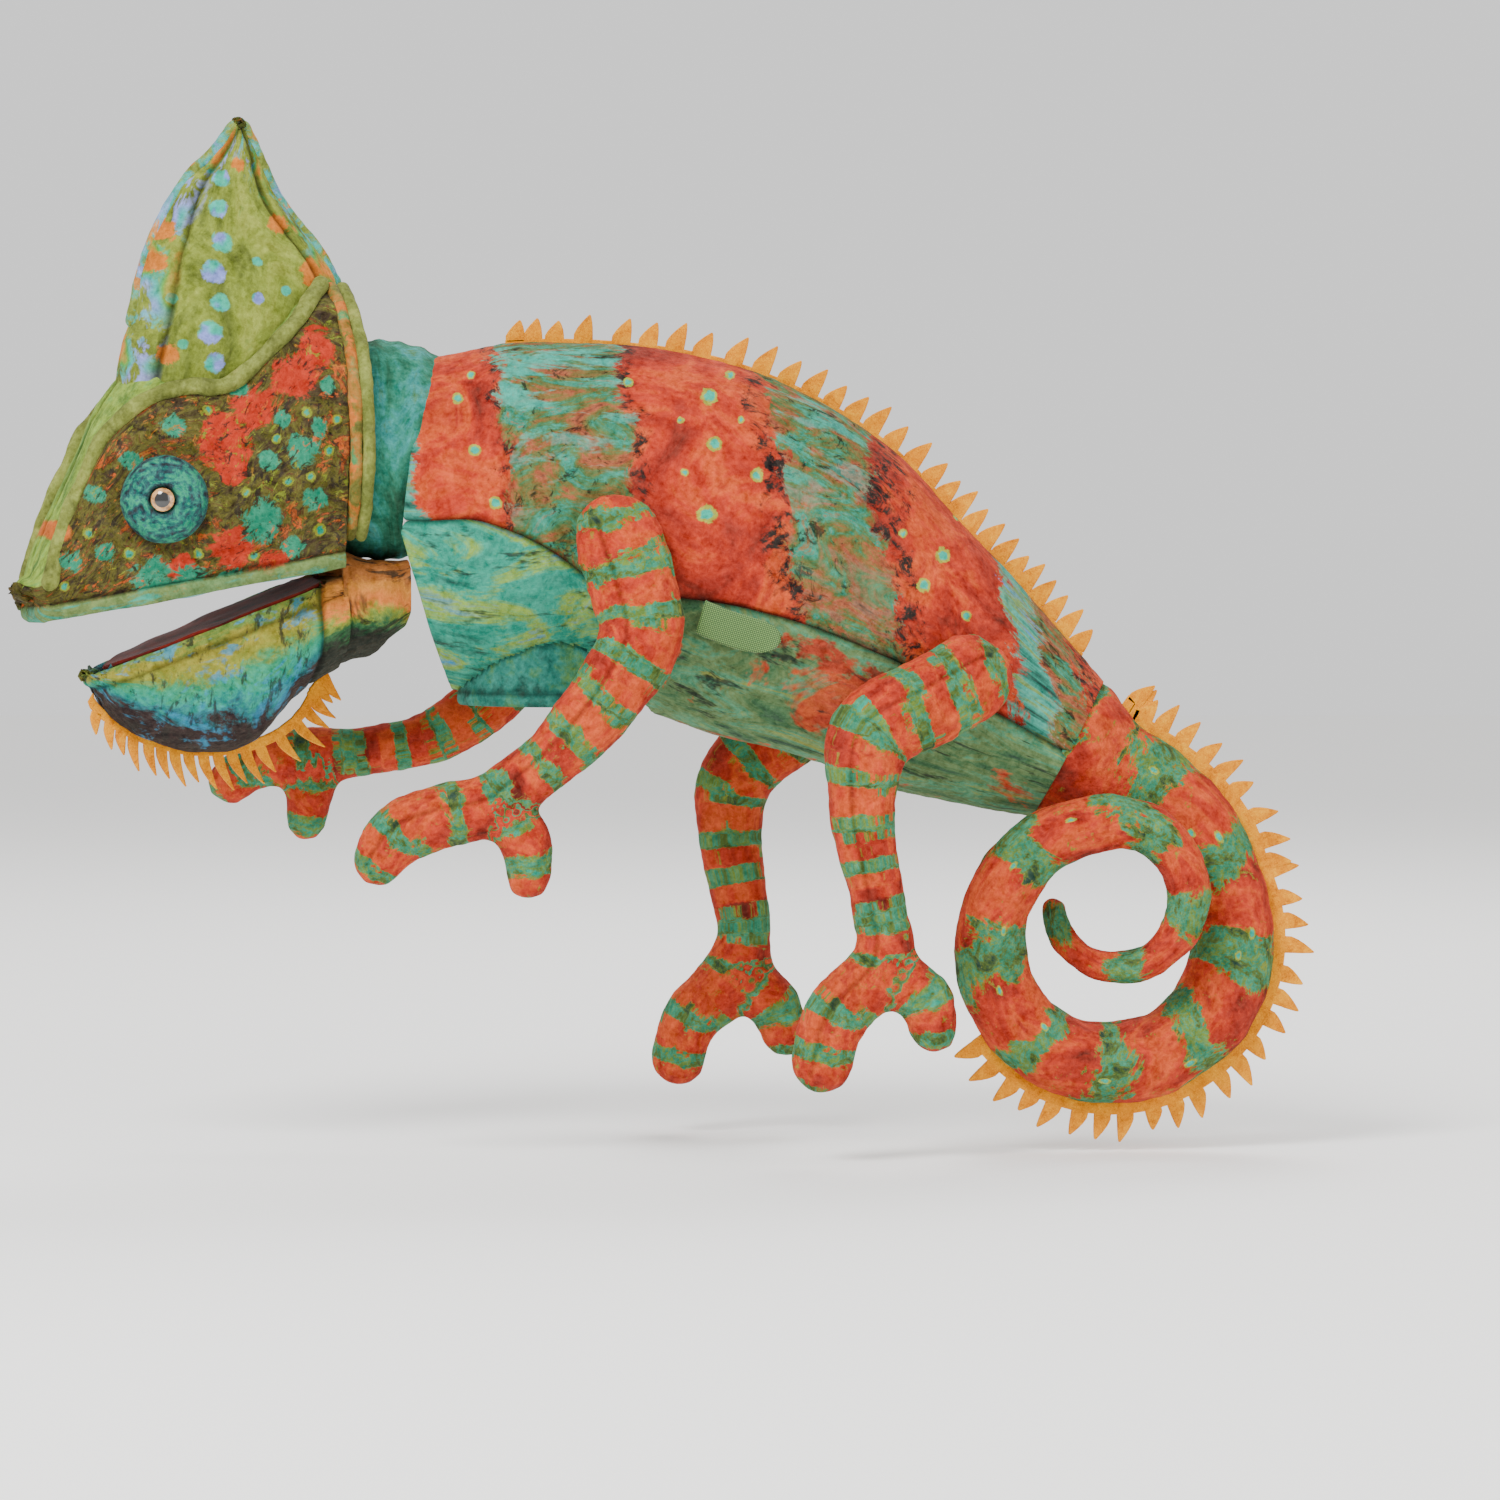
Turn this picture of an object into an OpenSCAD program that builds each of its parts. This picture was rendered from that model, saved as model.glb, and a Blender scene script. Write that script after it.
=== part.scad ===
// Chameleon hand puppet with a moving mouth: printed plush over fibre filling, worn on the hand.
// Millimetres. +Z is up, the head looks towards -X, and its left side faces -Y.
// The origin is the centre of the hand opening under the chest.

/* [Torso] */
// Length of the torso from the neck seam to the root of the tail
torso_len = 180; // [160:1:216]
// Height of the torso at its deepest section
torso_h = 95; // [84:1:114]
// Width of the torso at its widest section
torso_w = 76; // [70:1:92]

/* [Head] */
// Length of the head from the neck pivot to the snout
head_len = 97; // [88:1:116]
// Width of the head across the cheeks
head_w = 62; // [60:1:74]
// Height of the casque above the neck pivot
casque_h = 86; // [74:1:102]
// Turn of the head to its left at rest
head_yaw = 18; // [0:1:25]

/* [Tail] */
// Radius of the outer turn of the tail, at the middle of the stuffed tube
coil_r = 33; // [31:0.5:40]
// Radius of the inner turn of the tail
inner_coil_r = 20; // [17:0.5:24]
// Radius of the tail tube where the coil begins
tail_r = 12; // [10:0.5:14]
// Radius of the tail tube at its tip
tail_tip_r = 3.8; // [3:0.1:4.6]

/* [Hand sleeve] */
// Inner radius of the hand opening
opening_r = 25; // [20.5:0.5:26]
// Height of the hemmed cuff round the opening
cuff_h = 18; // [12:1:22]
// Thickness of the sleeve lining
lining_t = 1.2; // [0.8:0.1:1.6]

/* [Cloth and felt] */
// Thickness of the plush cloth with its pile
skin_t = 2; // [1.6:0.1:2.4]
// Thickness of the felt crests
felt_t = 1.4; // [1:0.1:2]
// Height of the teeth of the back crest above the seam
crest_h = 7; // [5:0.5:9]
// Height of the teeth of the tail crest above the seam
tail_crest_h = 9; // [6:0.5:11]
// Radius of the piping along brows and cheeks
piping_r = 2.4; // [1.8:0.1:3]
// Thickness of the boards that stiffen the mouth
board_t = 1.5; // [1:0.1:2]

/* [Eyes] */
// Radius of the domed eye turret
turret_r = 11.6; // [9:0.1:13.5]
// Height of the dome of the turret
turret_h = 6; // [4:0.5:8]
// Radius of the glass eye
eye_r = 3.3; // [2.6:0.1:4]
// Radius of the eye's shank
shank_r = 1.5; // [1.2:0.1:2]

/* [Hidden] */
$fn = 48;
fit_gap = 0.2;       // between a filling and the cloth round it
move_gap = 0.5;      // between two pieces that move past each other
tube_sides = 10;
leg_sides = 8;
torso_sides = 14;
pocket_sides = 12;
chest_lead = 0.024;  // share of torso_len that the chest reaches further ahead of the opening
function along(share) = torso_len * (share - chest_lead);
neck = [along(-0.239), 0, torso_h * 0.695]; // centre of the neck
ball_r = 30;         // the ball of the neck, which the head turns on
neck_bore_r = 19;    // way through the neck for the fingers
seam_gap = 0.35;     // between the torso's flank and a leg or the label
felt_gap = 0.45;     // between a felt strip and the cloth that it is sewn down on

// ---- curves and lofted solids ----

// One point of a smooth curve through the rows p1 and p2
function curve_point(p0, p1, p2, p3, t) =
    0.5 * (2 * p1 + (p2 - p0) * t + (2 * p0 - 5 * p1 + 4 * p2 - p3) * t * t
        + (3 * p1 - p0 - 3 * p2 + p3) * t * t * t);

// Rows of numbers drawn out into a smooth run with n steps between two rows
function smooth_rows(rows, n) = [
    for (i = [0 : len(rows) - 2], k = [0 : n - 1])
        curve_point(rows[max(i - 1, 0)], rows[i], rows[i + 1],
            rows[min(i + 2, len(rows) - 1)], k / n),
    rows[len(rows) - 1]
];

function unit(v) = v / norm(v);
function xyz(row) = [row[0], row[1], row[2]];
function way(rows, i) =
    unit(xyz(rows[min(i + 1, len(rows) - 1)]) - xyz(rows[max(i - 1, 0)]));

// The side of a section points along Y, square to the way the path goes
function side_of(t) = unit([0, 1, 0] - t * t[1]);
function rise_of(t) = cross(t, side_of(t));

// The same rows with their half width and half height grown
function grown(rows, grow) = [
    for (r = rows) [r[0], r[1], r[2], max(0.3, r[3] + grow), max(0.3, r[4] + grow)]
];

// One oval section: row is [x, y, z, half width, half height]
function oval(row, t, sides) = [
    for (k = [0 : sides - 1])
        let (a = 360 * k / sides)
            xyz(row) + side_of(t) * row[3] * cos(a) + rise_of(t) * row[4] * sin(a)
];

// Rows that round off an end: from a full section to a small one, out along d
function round_end(row, d, steps) = [
    for (k = [1 : steps])
        let (a = 84 * k / steps, reach = row[4])
            [row[0] + d[0] * reach * sin(a), row[1] + d[1] * reach * sin(a),
                row[2] + d[2] * reach * sin(a), row[3] * cos(a), row[4] * cos(a)]
];

function backwards(v) = [for (k = [len(v) - 1 : -1 : 0]) v[k]];

// A closed solid through rings of points, all with the same number of corners
module ring_solid(rings) {
    n = len(rings[0]);
    m = len(rings);
    points = [for (r = rings) each r];
    walls = [
        for (i = [0 : m - 2], k = [0 : n - 1])
            let (a = i * n + k, b = i * n + (k + 1) % n)
                each [[a, b, b + n], [a, b + n, a + n]]
    ];
    first = [for (k = [n - 1 : -1 : 0]) k];
    last = [for (k = [0 : n - 1]) (m - 1) * n + k];
    polyhedron(points = points, faces = concat([first], walls, [last]), convexity = 8);
}

// The same for soft pieces, blended from each ring to the next
module soft_solid(rings) {
    for (i = [0 : len(rings) - 2])
        hull() ring_solid([rings[i], rings[i + 1]]);
}

// A stuffed tube along rows; ends[0] and ends[1] say whether each end is rounded
module stuffed(path, grow = 0, sides = tube_sides, ends = [true, true]) {
    rows = grown(path, grow);
    m = len(rows);
    head_end = ends[0] ? backwards(round_end(rows[0], -way(rows, 0), 2)) : [];
    tail_end = ends[1] ? round_end(rows[m - 1], way(rows, m - 1), 2) : [];
    ways = concat([for (r = head_end) way(rows, 0)], [for (i = [0 : m - 1]) way(rows, i)],
        [for (r = tail_end) way(rows, m - 1)]);
    all = concat(head_end, rows, tail_end);
    soft_solid([for (i = [0 : len(all) - 1]) oval(all[i], ways[i], sides)]);
}

// A loft whose sections all stand square to X
module upright_loft(rows, grow = 0, sides = torso_sides) {
    soft_solid([for (r = grown(rows, grow)) oval(r, [1, 0, 0], sides)]);
}

// A felt strip along rows with teeth on its outer edge, on the rise side (up = 1) or below it.
// It is sewn down on a skin of that many sides, whose flat side it stands on
module toothed_strip(rows, sides, valley, tip, up = 1) {
    ring_solid([
        for (i = [0 : len(rows) - 1])
            let (
                t = way(rows, i), s = side_of(t) * felt_t / 2, r = rise_of(t) * up,
                top = (i % 2 == 1) ? tip : valley,
                base = xyz(rows[i]) + r * (rows[i][4] * cos(180 / sides) + felt_gap),
                edge = xyz(rows[i]) + r * (rows[i][4] + top)
            )
            up > 0 ? [base - s, base + s, edge + s, edge - s] : [base + s, base - s, edge - s, edge + s]
    ]);
}

// ---- torso ----

// Stations of the torso: share of torso_len from the origin, then height, half width and
// half height as shares of torso_h and torso_w
torso_stations = [
    [-0.195, 0.520, 0.395, 0.440],
    [-0.067, 0.495, 0.465, 0.500],
    [0.090, 0.498, 0.480, 0.498],
    [0.233, 0.441, 0.500, 0.505],
    [0.383, 0.313, 0.490, 0.478],
    [0.516, 0.157, 0.440, 0.398],
    [0.627, 0.023, 0.370, 0.338],
    [0.722, -0.080, 0.290, 0.270]
];
// The tail joins here, on the hinge that lets it lift
tail_pivot = [along(0.790), 0, -torso_h * 0.150];
tail_root = torso_h * 0.215; // radius there

function torso_row(s) = [
    along(s[0]), 0, s[1] * torso_h, s[2] * torso_w, s[3] * torso_h
];
torso_rows = smooth_rows(
    concat([for (s = torso_stations) torso_row(s)],
        [[tail_pivot[0], 0, tail_pivot[2], tail_root, tail_root]]), 2);

// The line of the seam between back and belly, from the chest to the tail
seam_line = [
    [-0.30, 0.500], [-0.17, 0.500], [-0.08, 0.500], [0.02, 0.420], [0.10, 0.310], [0.22, 0.280],
    [0.35, 0.235], [0.49, 0.140], [0.70, -0.060], [0.90, -0.300]
];
chest_end = 0.12; // where the chest panel stops, as a share of torso_len
slot_cut = 400;   // long enough to pass the whole torso

module below_seam() {
    rotate([90, 0, 0])
        linear_extrude(slot_cut, center = true)
            polygon(concat(
                [for (p = seam_line) [along(p[0]), p[1] * torso_h]],
                [[torso_len, -2 * torso_h], [-torso_len, -2 * torso_h],
                    [-torso_len, seam_line[0][1] * torso_h]]));
}

module chest_side() {
    translate([-slot_cut + along(chest_end), -slot_cut / 2, -slot_cut / 2])
        cube(slot_cut);
}

// The front of the torso leans back towards the chest, to leave the throat room
module front_room() {
    lean = 16;
    translate(neck)
        rotate([0, -lean, 0])
            translate([-slot_cut + 1, -slot_cut / 2, -slot_cut / 2])
                cube(slot_cut);
}

module neck_ball(extra = 0) {
    translate(neck) sphere(ball_r + extra);
}

module sleeve_way(extra = 0) {
    stuffed(sleeve_rows, extra, pocket_sides, [false, false]);
}

module torso_outer(grow = 0) {
    difference() {
        stuffed(torso_rows, grow, torso_sides, [false, false]);
        front_room();
        neck_ball(move_gap);
        translate(tail_pivot) sphere(tail_root + move_gap);
    }
}

module torso_cloth() {
    difference() {
        torso_outer();
        stuffed(torso_rows, -skin_t, torso_sides, [false, false]);
        cylinder(h = 2 * cuff_h + 20, r = opening_r + lining_t + fit_gap, center = true);
    }
}

module back_panel() {
    color("orangered") difference() {
        torso_cloth();
        below_seam();
    }
}

module belly_panel() {
    color("mediumseagreen") difference() {
        intersection() {
            torso_cloth();
            below_seam();
        }
        chest_side();
    }
}

module chest_panel() {
    color("lightseagreen") intersection() {
        torso_cloth();
        below_seam();
        chest_side();
    }
}

module torso_filling() {
    color("white") difference() {
        intersection() {
            torso_outer(-skin_t - fit_gap);
            stuffed(torso_rows, -skin_t, torso_sides, [false, false]);
        }
        sleeve_way(lining_t + fit_gap);
        cylinder(h = 2 * cuff_h, r = opening_r + lining_t + fit_gap, center = true);
    }
}

// The way of the hand: straight up from the cuff, then forward to the neck
sleeve_rows = smooth_rows([
    [0, 0, 0, opening_r, opening_r],
    [0, 0, cuff_h, opening_r, opening_r],
    [-1, 0, cuff_h + 8, opening_r - 1, opening_r - 2],
    [neck[0] * 0.32, 0, neck[2] * 0.72, opening_r - 3, 22],
    [neck[0] * 0.62, 0, neck[2] * 0.92, 22, neck_bore_r + 1],
    [neck[0] + 14, 0, neck[2], neck_bore_r, neck_bore_r]
], 2);

module hand_sleeve() {
    color("dimgray") difference() {
        sleeve_way(lining_t);
        sleeve_way();
        neck_ball(move_gap);
        translate([0, 0, -cuff_h]) cylinder(h = 2 * cuff_h, r = 2 * opening_r);
    }
}

module sleeve_cuff() {
    color("darkgreen") difference() {
        translate([0, 0, -2]) cylinder(h = cuff_h + 2 - fit_gap, r = opening_r + lining_t);
        translate([0, 0, -3]) cylinder(h = cuff_h + 4, r = opening_r);
    }
}

back_teeth = 30;
// Where the back crest starts, as a share of the way along the torso
crest_start = 1;

// A run of rows with two steps for each tooth, drawn out evenly along the given rows
function tooth_rows(rows, teeth) = [
    for (k = [0 : 2 * teeth])
        let (at = k * (len(rows) - 1) / (2 * teeth), i = min(floor(at), len(rows) - 2), f = at - i)
            rows[i] * (1 - f) + rows[i + 1] * f
];

module back_crest() {
    rows = [for (i = [crest_start : len(torso_rows) - 2]) torso_rows[i]];
    color("orange") toothed_strip(tooth_rows(rows, back_teeth), torso_sides, 1, crest_h);
}

// Half width of the torso at x and z
function row_at(rows, x) =
    let (
        i = max([0, for (k = [0 : len(rows) - 2]) if (rows[k][0] <= x) k]),
        f = (x - rows[i][0]) / (rows[i + 1][0] - rows[i][0])
    )
        rows[i] * (1 - f) + rows[i + 1] * f;
function flank(x, z) =
    let (r = row_at(torso_rows, x))
        r[3] * sqrt(max(0, 1 - pow((z - r[2]) / r[4], 2)));

label = [22, 0.6, 8];
module side_label() {
    x = along(0.30);
    z = torso_h * 0.19;
    color("olivedrab")
        translate([x, -flank(x, z) - 1.6, z])
            rotate([20, 16, 0]) cube(label, center = true);
}

// ---- tail ----

coil_centre = [tail_pivot[0] + torso_len * 0.065, -torso_h * 0.695];
coil_start = 28;      // angle where the outer turn begins, up from +X
outer_sweep = 298;    // of the outer turn, ending at its top
inner_sweep = 250;    // of the inner turn
coil_lean = 23;       // how far the coil stands out to the left of the torso
outer_loss = 4;       // radius that the tube loses over the outer turn

function ease(t) = t * t * (3 - 2 * t);
outer_end_r = tail_r - outer_loss;

outer_rows = [
    for (s = [0 : 1 / 15 : 0.999])
        let (a = coil_start - outer_sweep * s, r = tail_r - outer_loss * s * s)
            [coil_centre[0] + coil_r * cos(a), -coil_lean * ease(s),
                coil_centre[1] + coil_r * sin(a), r, r]
];
inner_rows = [
    for (s = [0 : 1 / 10 : 1])
        let (
            a = coil_start - outer_sweep - inner_sweep * s,
            r = outer_end_r - (outer_end_r - tail_tip_r) * pow(s, 0.8),
            turn_r = inner_coil_r - 4 * pow(s, 6)
        )
            [coil_centre[0] + turn_r * cos(a), -coil_lean * cos(86 * pow(s, 1.5)),
                coil_centre[1] + coil_r - inner_coil_r + turn_r * sin(a), r, r]
];
root_rows = smooth_rows([
    [tail_pivot[0], 0, tail_pivot[2], tail_root, tail_root],
    [tail_pivot[0] + torso_len * 0.055, 0, tail_pivot[2] - torso_h * 0.075, 16, 17.5],
    [tail_pivot[0] + torso_len * 0.143, 0, tail_pivot[2] - torso_h * 0.150, 12.8, 13.6],
    [tail_pivot[0] + torso_len * 0.204, 0, tail_pivot[2] - torso_h * 0.265, 12.2, 12.4],
    outer_rows[0]
], 2);
tail_rows = concat([for (i = [0 : len(root_rows) - 2]) root_rows[i]], outer_rows, inner_rows);

module tail_inside() {
    rows = concat([root_rows[0] - [28, 0, -20, 0, 0]],
        [for (i = [0 : len(tail_rows) - 2]) tail_rows[i]]);
    stuffed(rows, -skin_t, tube_sides, [false, true]);
}

module tail_skin() {
    color("tomato") difference() {
        stuffed(tail_rows);
        tail_inside();
    }
}

module tail_filling() {
    rows = [for (i = [0 : len(tail_rows) - 2]) tail_rows[i]];
    color("white") intersection() {
        stuffed(rows, -skin_t - fit_gap);
        tail_inside();
    }
}

tail_teeth = 33;
crest_rows = 17; // rows of the tail that carry its crest
module tail_crest() {
    rows = [for (i = [1 : crest_rows]) tail_rows[i]];
    color("orange") toothed_strip(tooth_rows(rows, tail_teeth), tube_sides, 2, tail_crest_h);
}

// ---- legs ----

// Rows of one limb: side is -1 for the left and 1 for the right; each row of the shape is
// [along X, out from the flank, up, half width, half height], from the limb's root
function limb(root, side, shape, steps = 2) = smooth_rows([
    for (p = shape)
        [root[0] + p[0], side * (flank(root[0], root[1]) + seam_gap + p[1]), root[1] + p[2],
            p[3], p[4]]
], steps);

front_left_root = [along(0.120), torso_h * 0.450];
front_right_root = [along(0.025), torso_h * 0.360];
hind_left_root = [along(0.640), torso_h * 0.060];
hind_right_root = [along(0.456), torso_h * 0.030];

front_left_leg = limb(front_left_root, -1, [
    [0, 6, 0, 6, 12.5], [4, 7, -12, 7, 12.6], [6, 9, -26, 9, 12], [-3, 10.5, -42, 9.6, 10.4],
    [-12, 9.5, -52.5, 9, 9.2], [-22, 8.5, -62, 8.4, 8.4], [-34, 8, -70.5, 8.6, 9],
    [-47, 8, -73.5, 8.6, 9.2], [-57, 8, -77.5, 8.4, 9], [-63, 8, -84.5, 7.4, 7.6]
]);
front_left_toe = limb(front_left_root, -1, [
    [-31, 8, -69, 7, 7.4], [-24.5, 8, -79, 7.4, 7.6], [-23, 8, -88.5, 6.6, 6.6]
], 1);
front_right_leg = limb(front_right_root, 1, [
    [0, 6, 0, 6, 11], [-5, 7, -17.5, 7.5, 11], [-16, 9.5, -33, 9, 9.6], [-32.5, 8.5, -46, 8, 8.2],
    [-51.5, 7, -51, 7.4, 7.4], [-67.5, 6.5, -52.5, 8, 8.6], [-82, 6.5, -54, 7.4, 7.8],
    [-91, 6.5, -59.5, 6.6, 6.8]
]);
front_right_toe = limb(front_right_root, 1, [
    [-66, 6.5, -53, 6.4, 6.8], [-69, 6.5, -62.5, 6.8, 7], [-70, 6.5, -70, 6.4, 6.4]
], 1);
hind_left_leg = limb(hind_left_root, -1, [
    [0, 6.8, 0, 6, 13], [-14, 15.5, -7, 8, 12.6], [-27, 19.5, -14.5, 10, 11.6],
    [-29, 19, -33, 9.2, 9.6], [-26, 18, -52, 8, 8], [-23, 17, -68, 7.8, 8],
    [-25, 17, -77.5, 8.6, 9.4], [-36, 17, -89, 8.6, 9.2], [-39.5, 17, -101, 8.4, 8.8]
], 1);
hind_left_toe = limb(hind_left_root, -1, [
    [-24, 17, -76, 7.4, 8], [-13, 17, -84, 7.6, 8], [-10, 17, -92.5, 6.8, 7]
], 1);
hind_right_leg = limb(hind_right_root, 1, [
    [0, 6.5, 0, 6, 13], [-16, 10.5, -14, 8.6, 12], [-29, 13, -26.5, 10, 10.8],
    [-31, 13, -44, 9, 9.5], [-27, 12, -68.5, 8, 8], [-30, 12, -81.5, 8.6, 9.4],
    [-42, 12, -94, 8.4, 8.6], [-45.5, 12, -104.5, 7.8, 8]
], 1);
hind_right_toe = limb(hind_right_root, 1, [
    [-29.5, 12, -80, 7.4, 8], [-19, 12, -90, 7.4, 7.8], [-16, 12, -98, 6.8, 7]
], 1);

module leg_form(leg, toe, grow = 0) {
    stuffed(leg, grow, leg_sides);
    stuffed(toe, grow, leg_sides);
}

// The cloth of a leg is open where it was stuffed, on the side that is sewn to the flank
module leg_cloth(leg, toe) {
    difference() {
        leg_form(leg, toe);
        leg_form(leg, toe, -skin_t);
        translate([leg[0][0], leg[0][1], leg[0][2]]) rotate([leg[0][1] > 0 ? 90 : -90, 0, 0])
            cylinder(h = 20, r = 5);
    }
}

module leg_filling(leg, toe) {
    intersection() {
        leg_form(leg, toe, -skin_t - fit_gap);
        leg_form(leg, toe, -skin_t);
    }
}

module front_leg_left_skin() { color("indianred") leg_cloth(front_left_leg, front_left_toe); }
module front_leg_left_filling() { color("white") leg_filling(front_left_leg, front_left_toe); }
module front_leg_right_skin() { color("indianred") leg_cloth(front_right_leg, front_right_toe); }
module front_leg_right_filling() { color("white") leg_filling(front_right_leg, front_right_toe); }
module hind_leg_left_skin() { color("indianred") leg_cloth(hind_left_leg, hind_left_toe); }
module hind_leg_left_filling() { color("white") leg_filling(hind_left_leg, hind_left_toe); }
module hind_leg_right_skin() { color("indianred") leg_cloth(hind_right_leg, hind_right_toe); }
module hind_leg_right_filling() { color("white") leg_filling(hind_right_leg, hind_right_toe); }

// ---- neck ----

module neck_collar() {
    color("seagreen") difference() {
        neck_ball();
        translate(neck) rotate([0, 90, 0]) cylinder(h = 3 * ball_r, r = neck_bore_r, center = true);
    }
}

// ---- head, drawn round the neck pivot with the snout towards -X ----

module head_frame() {
    translate(neck) rotate([0, 0, head_yaw]) children();
}

// Stations of the face: share of head_len, height of the brow and of the mouth line, and
// half width as a share of head_w
mouth_slope = 10.4;   // the lip line falls this much towards the snout
jaw_slope = 21.5;     // and the edge of the lower jaw this much, so the mouth stands open
hinge = [-14, -31];   // corner of the mouth
face_stations = [
    [-1.00, -33, -40, 0.10], [-0.975, -26, -45, 0.19], [-0.92, -14, -47, 0.25],
    [-0.85, 1, -47, 0.30], [-0.80, 11, -47, 0.33], [-0.71, 22, -45, 0.37],
    [-0.60, 26, -43, 0.41], [-0.49, 26, -41, 0.44], [-0.40, 33.5, -39.5, 0.465],
    [-0.31, 43, -38, 0.485], [-0.23, 46, -36.5, 0.50], [-0.17, 45, -35.5, 0.50]
];
face_rows = smooth_rows([
    for (s = face_stations)
        [s[0] * head_len, 0, (s[1] + s[2]) / 2, s[3] * head_w, (s[1] - s[2]) / 2]
], 1);

// Everything under a line that falls towards the snout from the hinge
module under_line(slope, drop) {
    translate([hinge[0], 0, hinge[1]])
        rotate([0, -slope, 0])
            translate([-slot_cut / 2, -slot_cut / 2, -slot_cut - drop])
                cube(slot_cut);
}

palate_stack = board_t + lining_t + fit_gap; // what lies on each half of the mouth

module face_outer(grow = 0) {
    difference() {
        upright_loft(face_rows, grow);
        under_line(mouth_slope, -palate_stack);
        translate([0, 0, 0]) sphere(ball_r + move_gap);
    }
}

eye_at = [-0.666, -13]; // share of head_len, and height
eye_out = 0.355;        // share of head_w where the back of the turret sits
eye_turn = 18;          // the turret looks this much forward

// Places children on the eye's axis, with +Z pointing out of the head
module eye_frame(side) {
    translate([eye_at[0] * head_len, side * eye_out * head_w, eye_at[1]])
        rotate([0, 0, side * eye_turn])
            rotate([-side * 90, 0, 0])
                children();
}

washer = [5, 1.2];
shank_len = 7.5;

turn_gap = 0.32; // round the shank, so that the eye turns freely
washer_at = -shank_len + 0.6;

module eye_room(side) {
    eye_frame(side) {
        cylinder(h = 30, r = turret_r + fit_gap);
        translate([0, 0, -shank_len - 1]) cylinder(h = shank_len + 2, r = shank_r + turn_gap);
        translate([0, 0, -shank_len - 1])
            cylinder(h = washer_at + washer[1] + turn_gap + shank_len + 1, r = washer[0] + turn_gap);
    }
}

module half(side) {
    translate([-slot_cut / 2, side > 0 ? 0 : -slot_cut, -slot_cut / 2]) cube(slot_cut);
}

module face_half(side) {
    inside = concat([for (i = [1 : len(face_rows) - 1]) face_rows[i]],
        [face_rows[len(face_rows) - 1] + [20, 0, 0, 0, 0]]);
    head_frame() intersection() {
        half(side);
        difference() {
            face_outer();
            upright_loft(inside, -skin_t);
            eye_room(side);
        }
    }
}

pocket_rows = smooth_rows([
    [-8, 0, -5, 17, 12], [-24, 0, -8, 18, 11], [-48, 0, -15, 14, 9.5], [-72, 0, -20, 9, 7]
], 3);

module finger_pocket() {
    color("dimgray") head_frame() difference() {
        upright_loft(backwards(pocket_rows), lining_t, pocket_sides);
        upright_loft(backwards(concat([pocket_rows[0] + [6, 0, 0, 0, 0]],
            [for (i = [0 : len(pocket_rows) - 2]) pocket_rows[i]])), 0, pocket_sides);
        sphere(ball_r + move_gap);
    }
}

module head_filling() {
    inside = [for (i = [1 : len(face_rows) - 1]) face_rows[i]];
    color("white") head_frame() difference() {
        upright_loft(inside, -skin_t - fit_gap);
        under_line(mouth_slope, -palate_stack);
        sphere(ball_r + move_gap);
        upright_loft(backwards(concat([pocket_rows[0] + [12, 0, 2, 0, 0]], pocket_rows)),
            lining_t + fit_gap, pocket_sides);
        for (side = [-1, 1]) eye_room(side);
    }
}

module face_left() { color("darkolivegreen") face_half(-1); }
module face_right() { color("darkolivegreen") face_half(1); }

// Outline of the mouth sheets, round at the lips and straight across the hinge
function mouth_outline(len, w, inset) = concat(
    [for (a = [90 : 9 : 270]) [-len * 0.45 + (len * 0.55 - inset) * cos(a), (w - inset) * sin(a)]],
    [[-inset, -(w - inset) * 0.92], [-inset, (w - inset) * 0.92]]
);

module mouth_sheet(slope, drop, len, w, t, inset) {
    translate([hinge[0], 0, hinge[1]])
        rotate([0, -slope, 0])
            translate([-3, 0, -drop])
                linear_extrude(t) polygon(mouth_outline(len, w, inset));
}

palate_len = head_len * 0.80;
palate_w = head_w * 0.34;
jaw_len = head_len * 0.64;
jaw_w = head_w * 0.33;

module palate_lining() {
    color("firebrick") head_frame()
        mouth_sheet(mouth_slope, 0, palate_len, palate_w, lining_t, 0);
}

module palate_board() {
    color("gainsboro") head_frame()
        mouth_sheet(mouth_slope, -lining_t, palate_len, palate_w, board_t, 3);
}

// Stations of the casque from its foot to its tip: share of casque_h, front, rear, half width
casque_stations = [
    [0.10, -76, -19, 18], [0.28, -73, -17, 19], [0.40, -70, -14, 18.5], [0.52, -67.5, -13, 15],
    [0.62, -65, -18, 11.5], [0.74, -60, -27, 8.5], [0.85, -53, -32.5, 5.4], [0.95, -44.5, -36.5, 3.6],
    [1.00, -41.5, -38.5, 2]
];
casque_run = casque_stations;

function flat_oval(s, sides, grow) = [
    for (k = [0 : sides - 1])
        let (
            a = 360 * k / sides,
            mid = (s[1] + s[2]) / 200 * head_len, reach = (s[2] - s[1]) / 200 * head_len
        )
            [mid + (reach + grow) * cos(a), (s[3] + grow) * sin(a), s[0] * casque_h]
];

module casque_outer(grow = 0) {
    soft_solid([for (s = casque_run) flat_oval(s, torso_sides, grow)]);
}

// The edge of the casque in the middle plane, up the front, over the tip and down the rear
function casque_edge() = concat(
    [for (s = casque_run) if (s[0] > 0.3) [s[1] / 100 * head_len, 0, s[0] * casque_h, piping_r, piping_r]],
    [for (k = [len(casque_run) - 1 : -1 : 0]) if (casque_run[k][0] > 0.58)
        [casque_run[k][2] / 100 * head_len, 0, casque_run[k][0] * casque_h, piping_r, piping_r]]
);

module casque_edge_band() {
    color("yellowgreen") head_frame() stuffed(casque_edge(), 0, 8);
}

module casque_half(side) {
    head_frame() intersection() {
        half(side);
        difference() {
            casque_outer();
            casque_outer(-skin_t);
            upright_loft(face_rows);
            stuffed(casque_edge(), 0.05, 8);
            sphere(ball_r + move_gap);
        }
    }
}

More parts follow.
